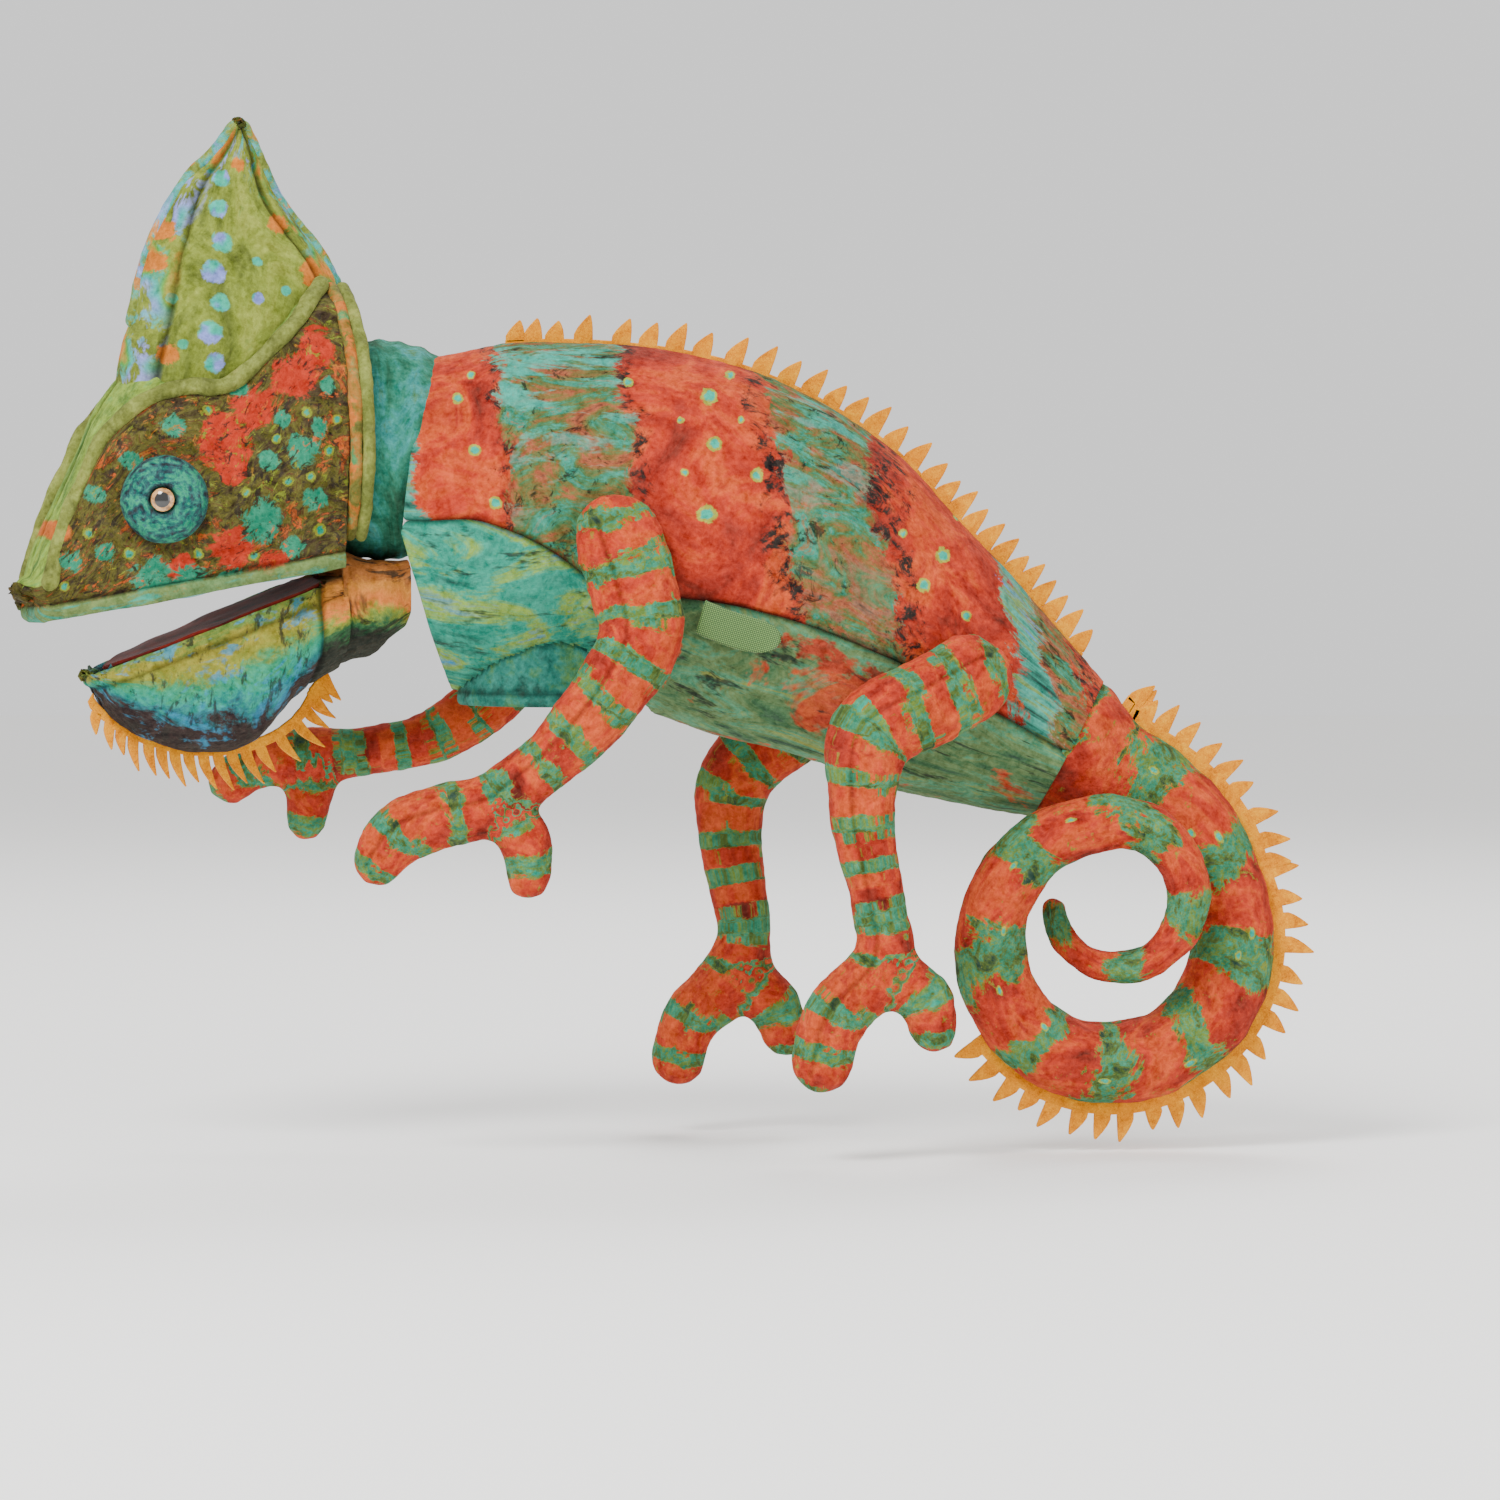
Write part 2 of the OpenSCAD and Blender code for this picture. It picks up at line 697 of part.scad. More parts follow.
module casque_left() { color("olivedrab") casque_half(-1); }
module casque_right() { color("olivedrab") casque_half(1); }

module casque_filling() {
    color("white") head_frame() difference() {
        casque_outer(-skin_t - fit_gap);
        upright_loft(face_rows);
        stuffed(casque_edge(), 0.05, 8);
        translate([-slot_cut / 2, -slot_cut / 2, casque_h * 0.86]) cube(slot_cut);
    }
}

// The brow runs from the nose along the top of the face to the rear of the casque: share of
// head_len, and the angle round the face where it lies
brow_run = [
    [-0.965, 0], [-0.92, 40], [-0.85, 50], [-0.80, 50], [-0.71, 45], [-0.60, 45], [-0.49, 45],
    [-0.40, 45], [-0.31, 46], [-0.25, 56], [-0.20, 68]
];

module brow_piping(side) {
    rows = smooth_rows([
        for (p = brow_run)
            let (r = row_at(face_rows, p[0] * head_len))
                [r[0], side * (r[3] + 0.6) * cos(p[1]), r[2] + (r[4] + 0.6) * sin(p[1]),
                    piping_r, piping_r]
    ], 1);
    head_frame() difference() {
        soft_solid([for (i = [0 : len(rows) - 1]) oval(rows[i], way(rows, i), 6)]);
        upright_loft(face_rows, 0.05);
        casque_outer(0.05);
    }
}

module brow_piping_left() { color("olive") brow_piping(-1); }
module brow_piping_right() { color("olive") brow_piping(1); }

// The cheek fold follows the rear rim of the face from the casque to the corner of the mouth
module cheek_piping(side) {
    rim = face_rows[len(face_rows) - 1];
    head_frame() soft_solid([
        for (a = [70 : -8 : -42])
            let (out = [0, side * cos(a), sin(a)], mid = [rim[0] + 2.8, 0, rim[2]]
                + [0, out[1] * rim[3], out[2] * rim[4]])
                [for (k = [0 : 7]) mid + [2.7 * cos(45 * k), 0, 0] + out * 2.2 * sin(45 * k)]
    ]);
}

module cheek_piping_left() { color("darkseagreen") cheek_piping(-1); }
module cheek_piping_right() { color("darkseagreen") cheek_piping(1); }

// ---- eyes ----

module eye_turret(side) {
    bore = shank_r + turn_gap;
    head_frame() eye_frame(side) difference() {
        rotate_extrude()
            polygon(concat([[bore, fit_gap], [turret_r, fit_gap]],
                [for (a = [0 : 10 : 90])
                    [bore + (turret_r - bore) * cos(a), 1 + turret_h * sin(a)]]));
        translate([0, 0, turret_h - turn_gap]) cylinder(h = 5, r = eye_r + turn_gap);
    }
}

module eye(side) {
    head_frame() eye_frame(side) rotate_extrude()
        polygon(concat([[0, -shank_len], [shank_r, -shank_len], [shank_r, turret_h],
            [eye_r, turret_h]],
            [for (a = [10 : 10 : 90]) [eye_r * cos(a), turret_h + 0.4 + eye_r * 0.6 * sin(a)]]));
}

module eye_washer(side) {
    head_frame() eye_frame(side) translate([0, 0, washer_at])
        difference() {
            cylinder(h = washer[1], r = washer[0]);
            translate([0, 0, -1]) cylinder(h = 4, r = shank_r + 0.03);
        }
}

module eye_turret_left() { color("teal") eye_turret(-1); }
module eye_turret_right() { color("teal") eye_turret(1); }
module eye_left() { color("black") eye(-1); }
module eye_right() { color("black") eye(1); }
module eye_washer_left() { color("white") eye_washer(-1); }
module eye_washer_right() { color("white") eye_washer(1); }

// ---- lower jaw ----

jaw_stations = [
    [-0.80, -57, -66, 0.13], [-0.77, -54, -71, 0.20], [-0.66, -50, -77.5, 0.27],
    [-0.52, -45, -81, 0.32], [-0.38, -40, -78.5, 0.35], [-0.28, -37, -68, 0.36],
    [-0.19, -35, -61, 0.36], [-0.145, -34, -58.5, 0.36]
];
jaw_rows = smooth_rows([
    for (s = jaw_stations)
        [s[0] * head_len, 0, (s[1] + s[2]) / 2, s[3] * head_w, (s[1] - s[2]) / 2]
], 2);
jaw_drop = 1.6; // how far the mouth floor starts below the palate at the hinge

module above_line(slope, drop) {
    translate([hinge[0], 0, hinge[1]])
        rotate([0, -slope, 0])
            translate([-slot_cut / 2, -slot_cut / 2, -drop])
                cube(slot_cut);
}

module jaw_half(side) {
    last = jaw_rows[len(jaw_rows) - 1];
    inside = concat([for (i = [1 : len(jaw_rows) - 1]) jaw_rows[i]], [last + [10, 0, 0, 0, 0]]);
    head_frame() intersection() {
        half(side);
        difference() {
            upright_loft(jaw_rows);
            upright_loft(inside, -skin_t);
            above_line(jaw_slope, jaw_drop + palate_stack);
        }
    }
}

module jaw_left() { color("mediumaquamarine") jaw_half(-1); }
module jaw_right() { color("mediumaquamarine") jaw_half(1); }

thumb_rows = smooth_rows([
    [-12, 0, -46, 11, 7], [-28, 0, -51, 11.5, 7.5], [-46, 0, -60, 10, 7.5], [-60, 0, -64, 8, 6]
], 3);

module thumb_pocket() {
    color("dimgray") head_frame() difference() {
        upright_loft(backwards(thumb_rows), lining_t, pocket_sides);
        upright_loft(backwards(concat([thumb_rows[0] + [6, 0, 0, 0, 0]],
            [for (i = [0 : len(thumb_rows) - 2]) thumb_rows[i]])), 0, pocket_sides);
        translate([-14, -50, -100]) cube(100);
    }
}

module jaw_filling() {
    inside = [for (i = [1 : len(jaw_rows) - 1]) jaw_rows[i]];
    color("white") head_frame() difference() {
        upright_loft(inside, -skin_t - fit_gap);
        above_line(jaw_slope, jaw_drop + palate_stack + fit_gap);
        upright_loft(backwards(concat([thumb_rows[0] + [12, 0, 4, 0, 0]], thumb_rows)),
            lining_t + fit_gap, pocket_sides);
    }
}

module jaw_lining() {
    color("firebrick") head_frame()
        mouth_sheet(jaw_slope, jaw_drop + lining_t, jaw_len, jaw_w, lining_t, 0);
}

module jaw_board() {
    color("gainsboro") head_frame()
        mouth_sheet(jaw_slope, jaw_drop + lining_t + board_t, jaw_len, jaw_w, board_t, 3);
}

chin_teeth = 20;
module chin_crest() {
    color("orange") head_frame()
        toothed_strip(tooth_rows([for (i = [0 : len(jaw_rows) - 3]) jaw_rows[i]], chin_teeth),
            torso_sides, 1.5, crest_h + 1.5, -1);
}

// The cloth of the throat folds between the jaw and the chest
throat_rows = smooth_rows([
    [-13.5, 0, -47, 20, 11], [-4, 0, -45, 21, 11.5], [6, 0, -42, 21, 11.5]
], 2);

module throat_gusset() {
    color("darkseagreen") head_frame() difference() {
        upright_loft(throat_rows);
        upright_loft(concat([throat_rows[0] - [3, 0, 0, 0, 0]], throat_rows,
            [throat_rows[len(throat_rows) - 1] + [3, 0, 0, 0, 0]]), -skin_t);
        sphere(ball_r + move_gap);
    }
}

// ---- the parts ----

back_panel();
belly_panel();
chest_panel();
torso_filling();
hand_sleeve();
sleeve_cuff();
back_crest();
side_label();
neck_collar();
face_left();
face_right();
head_filling();
casque_left();
casque_right();
casque_filling();
casque_edge_band();
brow_piping_left();
brow_piping_right();
cheek_piping_left();
cheek_piping_right();
palate_lining();
palate_board();
finger_pocket();
eye_turret_left();
eye_turret_right();
eye_left();
eye_right();
eye_washer_left();
eye_washer_right();
jaw_left();
jaw_right();
jaw_filling();
jaw_lining();
jaw_board();
thumb_pocket();
chin_crest();
throat_gusset();
front_leg_left_skin();
front_leg_left_filling();
front_leg_right_skin();
front_leg_right_filling();
hind_leg_left_skin();
hind_leg_left_filling();
hind_leg_right_skin();
hind_leg_right_filling();
tail_skin();
tail_filling();
tail_crest();
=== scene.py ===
# Chameleon hand puppet: printed plush over fibre filling, with felt crests and domed eyes.
import bpy
import bmesh
import math
import numpy as np
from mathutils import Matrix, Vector, noise
from mathutils.kdtree import KDTree


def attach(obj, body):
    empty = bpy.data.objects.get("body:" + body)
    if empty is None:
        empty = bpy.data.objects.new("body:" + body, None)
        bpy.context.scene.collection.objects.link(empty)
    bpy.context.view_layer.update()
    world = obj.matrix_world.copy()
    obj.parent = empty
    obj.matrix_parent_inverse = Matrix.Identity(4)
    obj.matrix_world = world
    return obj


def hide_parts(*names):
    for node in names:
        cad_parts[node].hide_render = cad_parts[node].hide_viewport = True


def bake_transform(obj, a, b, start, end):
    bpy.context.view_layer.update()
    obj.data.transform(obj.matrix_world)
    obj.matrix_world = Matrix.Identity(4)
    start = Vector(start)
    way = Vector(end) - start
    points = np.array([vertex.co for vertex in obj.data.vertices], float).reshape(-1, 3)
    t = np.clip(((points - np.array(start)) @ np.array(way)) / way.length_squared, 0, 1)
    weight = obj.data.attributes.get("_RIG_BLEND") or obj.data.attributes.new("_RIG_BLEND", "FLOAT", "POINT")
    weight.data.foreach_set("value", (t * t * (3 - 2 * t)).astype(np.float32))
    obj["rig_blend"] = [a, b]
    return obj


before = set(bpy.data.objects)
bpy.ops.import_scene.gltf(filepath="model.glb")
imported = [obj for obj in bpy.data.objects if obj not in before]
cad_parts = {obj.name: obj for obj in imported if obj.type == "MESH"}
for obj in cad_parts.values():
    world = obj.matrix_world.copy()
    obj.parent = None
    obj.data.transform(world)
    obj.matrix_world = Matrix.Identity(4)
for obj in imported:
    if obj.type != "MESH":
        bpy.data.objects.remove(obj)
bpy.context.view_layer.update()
MM = 0.001

# ---- Torso ----
# The back, belly and chest panels are printed minky plush, cut flat, sewn edge to edge and
# turned, so that the fibre fill swells each panel and every seam sits in a shallow valley.


def smooth(rows, n):
    """Rows of numbers drawn out into a smooth run, n steps between two rows."""
    rows = np.array(rows, float)
    run = []
    for i in range(len(rows) - 1):
        p0, p1 = rows[max(i - 1, 0)], rows[i]
        p2, p3 = rows[i + 1], rows[min(i + 2, len(rows) - 1)]
        for k in range(n):
            t = k / n
            run.append(0.5 * (2 * p1 + (p2 - p0) * t + (2 * p0 - 5 * p1 + 4 * p2 - p3) * t * t
                              + (3 * p1 - p0 - 3 * p2 + p3) * t ** 3))
    run.append(rows[-1])
    return np.array(run)


def unit(v):
    return v / np.linalg.norm(v, axis=-1, keepdims=True)


def round_off(rows, first, last, steps=6):
    """Rows [x, y, z, half width, half height] with one or both ends of the tube rounded."""
    rows = np.array(rows, float)
    a = np.radians(88) * np.arange(1, steps + 1) / steps

    def cap(row, way):
        more = np.repeat(row[None], steps, 0)
        more[:, :3] += way * (row[4] * np.sin(a))[:, None]
        more[:, 3:5] *= np.cos(a)[:, None]
        return more

    run = [rows]
    if first:
        run.insert(0, cap(rows[0], unit(rows[0, :3] - rows[1, :3]))[::-1])
    if last:
        run.append(cap(rows[-1], unit(rows[-1, :3] - rows[-2, :3])))
    return np.vstack(run)


def tube(rows, sides, upright=False):
    """Rings of points in mm round the rows, and how far along and round the cloth each lies."""
    rows = np.array(rows, float)
    c = rows[:, :3]
    t = np.tile([1.0, 0, 0], (len(rows), 1)) if upright else unit(np.gradient(c, axis=0))
    side = unit(np.array([0, 1.0, 0]) - t * t[:, 1:2])
    rise = np.cross(t, side)
    a = np.linspace(0, 2 * np.pi, sides, endpoint=False)
    rings = (c[:, None] + side[:, None] * (rows[:, 3:4] * np.cos(a))[:, :, None]
             + rise[:, None] * (rows[:, 4:5] * np.sin(a))[:, :, None])
    u = np.concatenate([[0], np.cumsum(np.linalg.norm(np.diff(c, axis=0), axis=1))])
    r = rows[:, 3:5].max()
    flow = np.stack([np.tile(u[:, None], (1, sides)), np.tile(r * np.cos(a), (len(rows), 1)),
                     np.tile(r * np.sin(a), (len(rows), 1))], -1)
    return rings, flow


def loft(rings, flow, closed=(True, True), bm=None):
    """A skin bridged from circle to circle, whose points carry their place on the cloth."""
    bm = bm or bmesh.new()
    layers = bm.verts.layers.float_vector
    flow_layer = layers.get("flow") or layers.new("flow")
    lane_layer = bm.verts.layers.float.get("lane") or bm.verts.layers.float.new("lane")
    last = None
    for i, ring in enumerate(rings):
        made = bmesh.ops.create_circle(bm, segments=len(ring), radius=1.0)["verts"]
        for k, v in enumerate(made):
            v.co = Vector(ring[k]) * MM
            v[flow_layer] = Vector(flow[i][k]) * MM
            v[lane_layer] = k
        edges = list(dict.fromkeys(e for v in made for e in v.link_edges))
        if last is not None:
            bmesh.ops.bridge_loops(bm, edges=last + edges)
        elif closed[0]:
            bmesh.ops.contextual_create(bm, geom=edges)
        last = edges
    if closed[1]:
        bmesh.ops.contextual_create(bm, geom=last)
    bmesh.ops.recalc_face_normals(bm, faces=bm.faces)
    return bm


def piece(bm, name):
    """The bmesh as a smooth-shaded object in place."""
    me = bpy.data.meshes.new(name)
    bm.to_mesh(me)
    bm.free()
    me.polygons.foreach_set("use_smooth", [True] * len(me.polygons))
    ob = bpy.data.objects.new(name, me)
    bpy.context.scene.collection.objects.link(ob)
    return ob


def points(ob, what="co"):
    flat = np.empty(len(ob.data.vertices) * 3, np.float32)
    if what == "co":
        ob.data.vertices.foreach_get("co", flat)
    elif what == "normal":
        ob.data.vertices.foreach_get("normal", flat)
    else:
        ob.data.attributes[what].data.foreach_get("vector", flat)
    return flat.reshape(-1, 3).astype(float)


def place(ob, co):
    ob.data.vertices.foreach_set("co", co.astype(np.float32).ravel())
    ob.data.update()


def mark(ob, name, values):
    """One number for each point, which the cloth's material reads by name."""
    at = ob.data.attributes.get(name) or ob.data.attributes.new(name, "FLOAT", "POINT")
    at.data.foreach_set("value", np.asarray(values, np.float32))


def fixed(ob):
    """Makes the object's modifiers part of its mesh."""
    depsgraph = bpy.context.evaluated_depsgraph_get()
    me = bpy.data.meshes.new_from_object(ob.evaluated_get(depsgraph), depsgraph=depsgraph)
    ob.modifiers.clear()
    old, ob.data = ob.data, me
    name = old.name
    bpy.data.meshes.remove(old)
    me.name = name
    me.polygons.foreach_set("use_smooth", [True] * len(me.polygons))


def refined(ob, levels):
    fine = ob.modifiers.new("fine", "SUBSURF")
    fine.levels = fine.render_levels = levels
    fixed(ob)


def walled(ob, thickness):
    """Gives the cloth its thickness, inwards."""
    wall = ob.modifiers.new("cloth", "SOLIDIFY")
    wall.thickness, wall.offset = thickness * MM, -1
    fixed(ob)


def filled(ob, stitched, room, pressure=4.0):
    """The fill presses the cloth out by simulation, at most room mm, and the stitches hold."""
    before = points(ob)
    hold = ob.vertex_groups.new(name="stitched")
    hold.add([int(i) for i in np.flatnonzero(stitched)], 1.0, "REPLACE")
    cloth = ob.modifiers.new("fill", "CLOTH")
    cloth.settings.quality = 5
    cloth.settings.mass = 0.3
    cloth.settings.tension_stiffness = cloth.settings.compression_stiffness = 12
    cloth.settings.bending_stiffness = 0.4
    cloth.settings.use_pressure = True
    cloth.settings.uniform_pressure_force = pressure
    cloth.settings.vertex_group_mass = "stitched"
    cloth.settings.effector_weights.gravity = 0
    cloth.collision_settings.use_collision = False
    cloth.point_cache.frame_start, cloth.point_cache.frame_end = 1, 20
    for f in range(1, 21):
        bpy.context.scene.frame_set(f)
    got = ob.evaluated_get(bpy.context.evaluated_depsgraph_get()).data
    after = np.empty(len(got.vertices) * 3, np.float32)
    got.vertices.foreach_get("co", after)
    ob.modifiers.remove(cloth)
    ob.vertex_groups.clear()
    bpy.context.scene.frame_set(1)
    move = after.reshape(-1, 3) - before
    far = np.linalg.norm(move, axis=1, keepdims=True)
    limit = room * MM
    place(ob, before + move * np.where(far > 1e-9, limit * np.tanh(far / limit) / (far + 1e-9), 1))


def lumps(ob, amount, size, seed=0.0, keep=None):
    """Unevenness of a stuffed cloth: amount and size in mm."""
    co, no = points(ob), points(ob, "normal")
    k = 1 / (size * MM)
    n = np.array([noise.noise(Vector(p) * k + Vector((seed, 0, 0))) for p in co])
    if keep is not None:
        n = n * keep
    place(ob, co + no * (n * amount * MM)[:, None])


def near(co, spots):
    """How near each point is to the nearest spot [x, z, r]: 0 at its middle, 1 at its edge."""
    best = np.full(len(co), 9.0)
    for x, z, r in spots:
        best = np.minimum(best, np.hypot(co[:, 0] - x, co[:, 2] - z) / r)
    return best


def distance(co, line):
    """Distance in mm from each point to a line of points."""
    tree = KDTree(len(line))
    for i, p in enumerate(line):
        tree.insert(p, i)
    tree.balance()
    return np.array([tree.find(p)[2] for p in co])


torso_len, torso_h, torso_w = 180, 95, 76
chest_lead = 0.024


def along(share):
    return torso_len * (share - chest_lead)


neck = np.array([along(-0.239), 0, torso_h * 0.695])
tail_pivot = np.array([along(0.790), 0, -torso_h * 0.150])
tail_root = torso_h * 0.215
torso_stations = [[-0.195, 0.520, 0.395, 0.440], [-0.067, 0.495, 0.465, 0.500],
                  [0.090, 0.498, 0.480, 0.498], [0.233, 0.441, 0.500, 0.505],
                  [0.383, 0.313, 0.490, 0.478], [0.516, 0.157, 0.440, 0.398],
                  [0.627, 0.023, 0.370, 0.338], [0.722, -0.080, 0.290, 0.270]]
torso_rows = smooth([[along(s[0]), 0, s[1] * torso_h, s[2] * torso_w, s[3] * torso_h]
                     for s in torso_stations]
                    + [[tail_pivot[0], 0, tail_pivot[2], tail_root, tail_root]], 6)
seam_line = np.array([[-0.30, 0.500], [-0.17, 0.500], [-0.08, 0.500], [0.02, 0.420],
                      [0.10, 0.310], [0.22, 0.280], [0.35, 0.235], [0.49, 0.140],
                      [0.70, -0.060], [0.90, -0.300]])
seam_line = smooth(np.column_stack([along(seam_line[:, 0]), seam_line[:, 1] * torso_h]), 6)
lanes, left_lane, right_lane, fine_lanes = 90, 29, 61, 720
fine_rings, fine_flow = tube(torso_rows, fine_lanes)
# Each ring is shared out from the top so that the seam of back and belly keeps to two lanes.
rings, flow = [], []
for ring, fl in zip(fine_rings, fine_flow):
    ring, fl = np.roll(ring, -fine_lanes // 4, 0), np.roll(fl, -fine_lanes // 4, 0)
    under = ring[:, 2] < np.interp(ring[:, 0], seam_line[:, 0], seam_line[:, 1])
    turn = np.clip(np.argmax(under[:fine_lanes // 2]), 60, 300)
    at = np.concatenate([np.linspace(0, turn, left_lane, endpoint=False),
                         np.linspace(turn, fine_lanes - turn, right_lane - left_lane, False),
                         np.linspace(fine_lanes - turn, fine_lanes, lanes - right_lane, False)])
    at = np.round(at).astype(int) % fine_lanes
    rings.append(ring[at])
    flow.append(fl[at])
rings, flow = np.array(rings), np.array(flow)
whole = piece(loft(rings, flow, (False, False)), "torso_whole")
lane = np.empty(len(whole.data.vertices), np.float32)
whole.data.attributes["lane"].data.foreach_get("value", lane)
row = np.arange(len(lane)) // lanes
filled(whole, np.isin(lane, (0, left_lane, right_lane)) | (row == 0) | (row >= len(rings) - 3), 1.6)
rings = (points(whole) / MM).reshape(len(rings), lanes, 3)
bpy.data.objects.remove(whole)
torso_seams = np.vstack([smooth(rings[:, k], 4) for k in (0, left_lane, right_lane)])
chest_end = 0.12
chest_ring = [[along(chest_end), p[1], p[2]] for p in
              rings[np.argmin(np.abs(rings[:, 0, 0] - along(chest_end))), left_lane:right_lane + 1]]
torso_seams = np.vstack([torso_seams, smooth(chest_ring, 4)])

torso_panels = []
opening_r = 26.6
lean = math.radians(16)
for name, node in (("back_panel_plush", "back_panel"), ("belly_panel_plush", "belly_panel"),
                   ("chest_panel_plush", "chest_panel")):
    bm = loft(rings, flow, (False, False))
    lane = bm.verts.layers.float["lane"]
    below = [f for f in bm.faces if all(left_lane <= v[lane] <= right_lane for v in f.verts)]
    gone = below if node == "back_panel" else list(set(bm.faces) - set(below))
    bmesh.ops.delete(bm, geom=gone, context="FACES")
    ob = piece(bm, name)
    refined(ob, 2)
    bm = bmesh.new()
    bm.from_mesh(ob.data)

    def trim(at, out):
        bmesh.ops.bisect_plane(bm, geom=bm.verts[:] + bm.edges[:] + bm.faces[:],
                               plane_co=Vector(at) * MM, plane_no=out, clear_outer=True)

    trim((neck[0] + 1, 0, neck[2]), (-math.cos(lean), 0, -math.sin(lean)))
    if node != "back_panel":
        trim((along(chest_end), 0, 0), (1 if node == "chest_panel" else -1, 0, 0))
        hole = [f for f in bm.faces if f.calc_center_median().z < 26 * MM
                and f.calc_center_median().xy.length < opening_r * MM]
        bmesh.ops.delete(bm, geom=hole, context="FACES")
        for v in bm.verts:
            r = v.co.xy.length / MM
            if v.is_boundary and v.co.z < 26 * MM and opening_r - 1 < r < opening_r + 1.2:
                v.co.xy *= opening_r / r
    bm.to_mesh(ob.data)
    bm.free()
    co = points(ob) / MM
    seam = distance(co, torso_seams)
    mid = np.column_stack([co[:, 0], 0 * co[:, 0],
                           np.interp(co[:, 0], torso_rows[:, 0], torso_rows[:, 2])])
    valley = 0.5 * (1 - np.exp(-(seam / 9) ** 2)) - 0.95 * np.exp(-(seam / 1.3) ** 2)
    place(ob, (co + unit(co - mid) * valley[:, None]) * MM)
    lumps(ob, 0.7, 17, 3.0, np.clip(seam / 6, 0, 1))
    lumps(ob, 0.22, 2.6, 8.0, np.clip(seam / 3, 0.2, 1))
    mark(ob, "seam", seam)
    torso_panels.append(ob)
    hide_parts(node)

# Printed minky: short dense pile, with a faint painted highlight at its tips and painted shade between the
# tufts.
# Its print blends ragged bands into one another, so every edge of it is broken by noise.


def linear(code):
    rgb = [int(code[i:i + 2], 16) / 255 for i in (1, 3, 5)]
    return [c / 12.92 if c <= 0.04045 else ((c + 0.055) / 1.055) ** 2.4 for c in rgb] + [1.0]


def add(tree, kind, inputs=None, **settings):
    """Adds a node, sets its settings, and links or sets its inputs."""
    n = tree.nodes.new("ShaderNode" + kind)
    for k, v in settings.items():
        setattr(n, k, v)
    for k, v in (inputs or {}).items():
        if isinstance(v, bpy.types.NodeSocket):
            tree.links.new(v, n.inputs[k])
        else:
            n.inputs[k].default_value = v
    return n


def finish(name):
    m = bpy.data.materials.new(name)
    m.use_nodes = True
    m.node_tree.nodes.clear()
    return m, m.node_tree


def blotch(t, at, size, detail=4.0, rough=0.6, warp=0.0, drawn=(1, 1, 1)):
    """Noise with features about size mm across, drawn out along the axes below 1."""
    if drawn != (1, 1, 1):
        at = add(t, "Mapping", {"Vector": at, "Scale": drawn}).outputs[0]
    return add(t, "TexNoise", {"Vector": at, "Scale": 1000 / size / 2, "Detail": detail,
                               "Roughness": rough, "Distortion": warp}).outputs["Fac"]


def calc(t, op, a, b=0.0, clamp=False):
    return add(t, "Math", {0: a, 1: b}, operation=op, use_clamp=clamp).outputs[0]


def ramp(t, fac, stops):
    n = add(t, "ValToRGB", {"Fac": fac})
    el = n.color_ramp.elements
    while len(el) < len(stops):
        el.new(1.0)
    for e, (p, c) in zip(el, stops):
        e.position = p
    for e, (p, c) in zip(el, stops):
        e.position = min(max(p, 0), 1)
        e.color = linear(c) if isinstance(c, str) else [c, c, c, 1]
    return n.outputs["Color"]


def over(t, fac, a, b, blend="MIX"):
    """Colour b laid over a by fac."""
    n = add(t, "Mix", {"Factor": fac}, data_type="RGBA", blend_type=blend)
    for k, v in (("A_Color", a), ("B_Color", b)):
        s = next(i for i in n.inputs if i.identifier == k)
        if isinstance(v, bpy.types.NodeSocket):
            t.links.new(v, s)
        else:
            s.default_value = linear(v) if isinstance(v, str) else v
    return next(o for o in n.outputs if o.identifier == "Result_Color")


def rag(t, blot, amount):
    """Noise moved to lie evenly round zero, amount wide, to tear the edge of a patch or band."""
    return calc(t, "MULTIPLY", calc(t, "SUBTRACT", blot, 0.5), amount)


def value_of(t, name):
    return add(t, "Attribute", attribute_name=name).outputs["Fac"]


def flow_of(t):
    return add(t, "Attribute", attribute_name="flow").outputs["Vector"]


def pile(t, m, colour, nap=0.75, depth=0.55, dark=0.50, sheen="#b9b090", at=None):
    """Short plush pile over a printed colour, with painted shade in the creases of the seams."""
    at = at or add(t, "TexCoord").outputs["Object"]
    tips = calc(t, "ADD", calc(t, "MULTIPLY", blotch(t, at, nap, 3.0, 0.7, 0.3), 0.55),
                calc(t, "MULTIPLY", blotch(t, at, nap * 3.4, 3.0, 0.6, 0.8), 0.45))
    # Painted shade: the colour falls towards its darkened copy in the low places of the pile noise, between
    # the tufts.
    shade = ramp(t, tips, [(0.34, 0.0), (0.64, 1.0)])
    shaded_roots = over(t, 1.0, colour, [dark, dark * 0.97, dark * 0.95, 1], "MULTIPLY")
    c = over(t, shade, shaded_roots, colour)
    # Painted highlight: a faint warm light screened over the tips of the pile.
    c = over(t, calc(t, "MULTIPLY", shade, 0.03), c, "#ffe9c8", "SCREEN")
    # Painted shade: the colour is darkened near each seam, where the crease falls into shadow.
    painted_crease_shade = ramp(t, calc(t, "MULTIPLY", value_of(t, "seam"), 0.25), [(0.06, 0.80), (0.40, 0.0)])
    c = over(t, painted_crease_shade, c, [0.12, 0.10, 0.09, 1], "MULTIPLY")
    bump = add(t, "Bump", {"Height": tips, "Strength": depth, "Distance": 1.2 * MM})
    p = add(t, "BsdfPrincipled", {"Base Color": c, "Roughness": 0.92, "Normal": bump.outputs[0],
                                  "Specular IOR Level": 0.10, "Sheen Weight": 0.06,
                                  "Sheen Roughness": 0.45, "Sheen Tint": linear(sheen)})
    add(t, "OutputMaterial", {"Surface": p.outputs[0]})
    return m


def red_print(t, v):
    """Red-orange ground, warmer and lighter in patches."""
    return ramp(t, blotch(t, v, 10, 5.0, 0.66, 0.6),
                [(0.30, "#5a0f08"), (0.41, "#981c0e"), (0.50, "#b72c12"), (0.58, "#cc4c1c"),
                 (0.68, "#a52410"), (0.78, "#701509")])


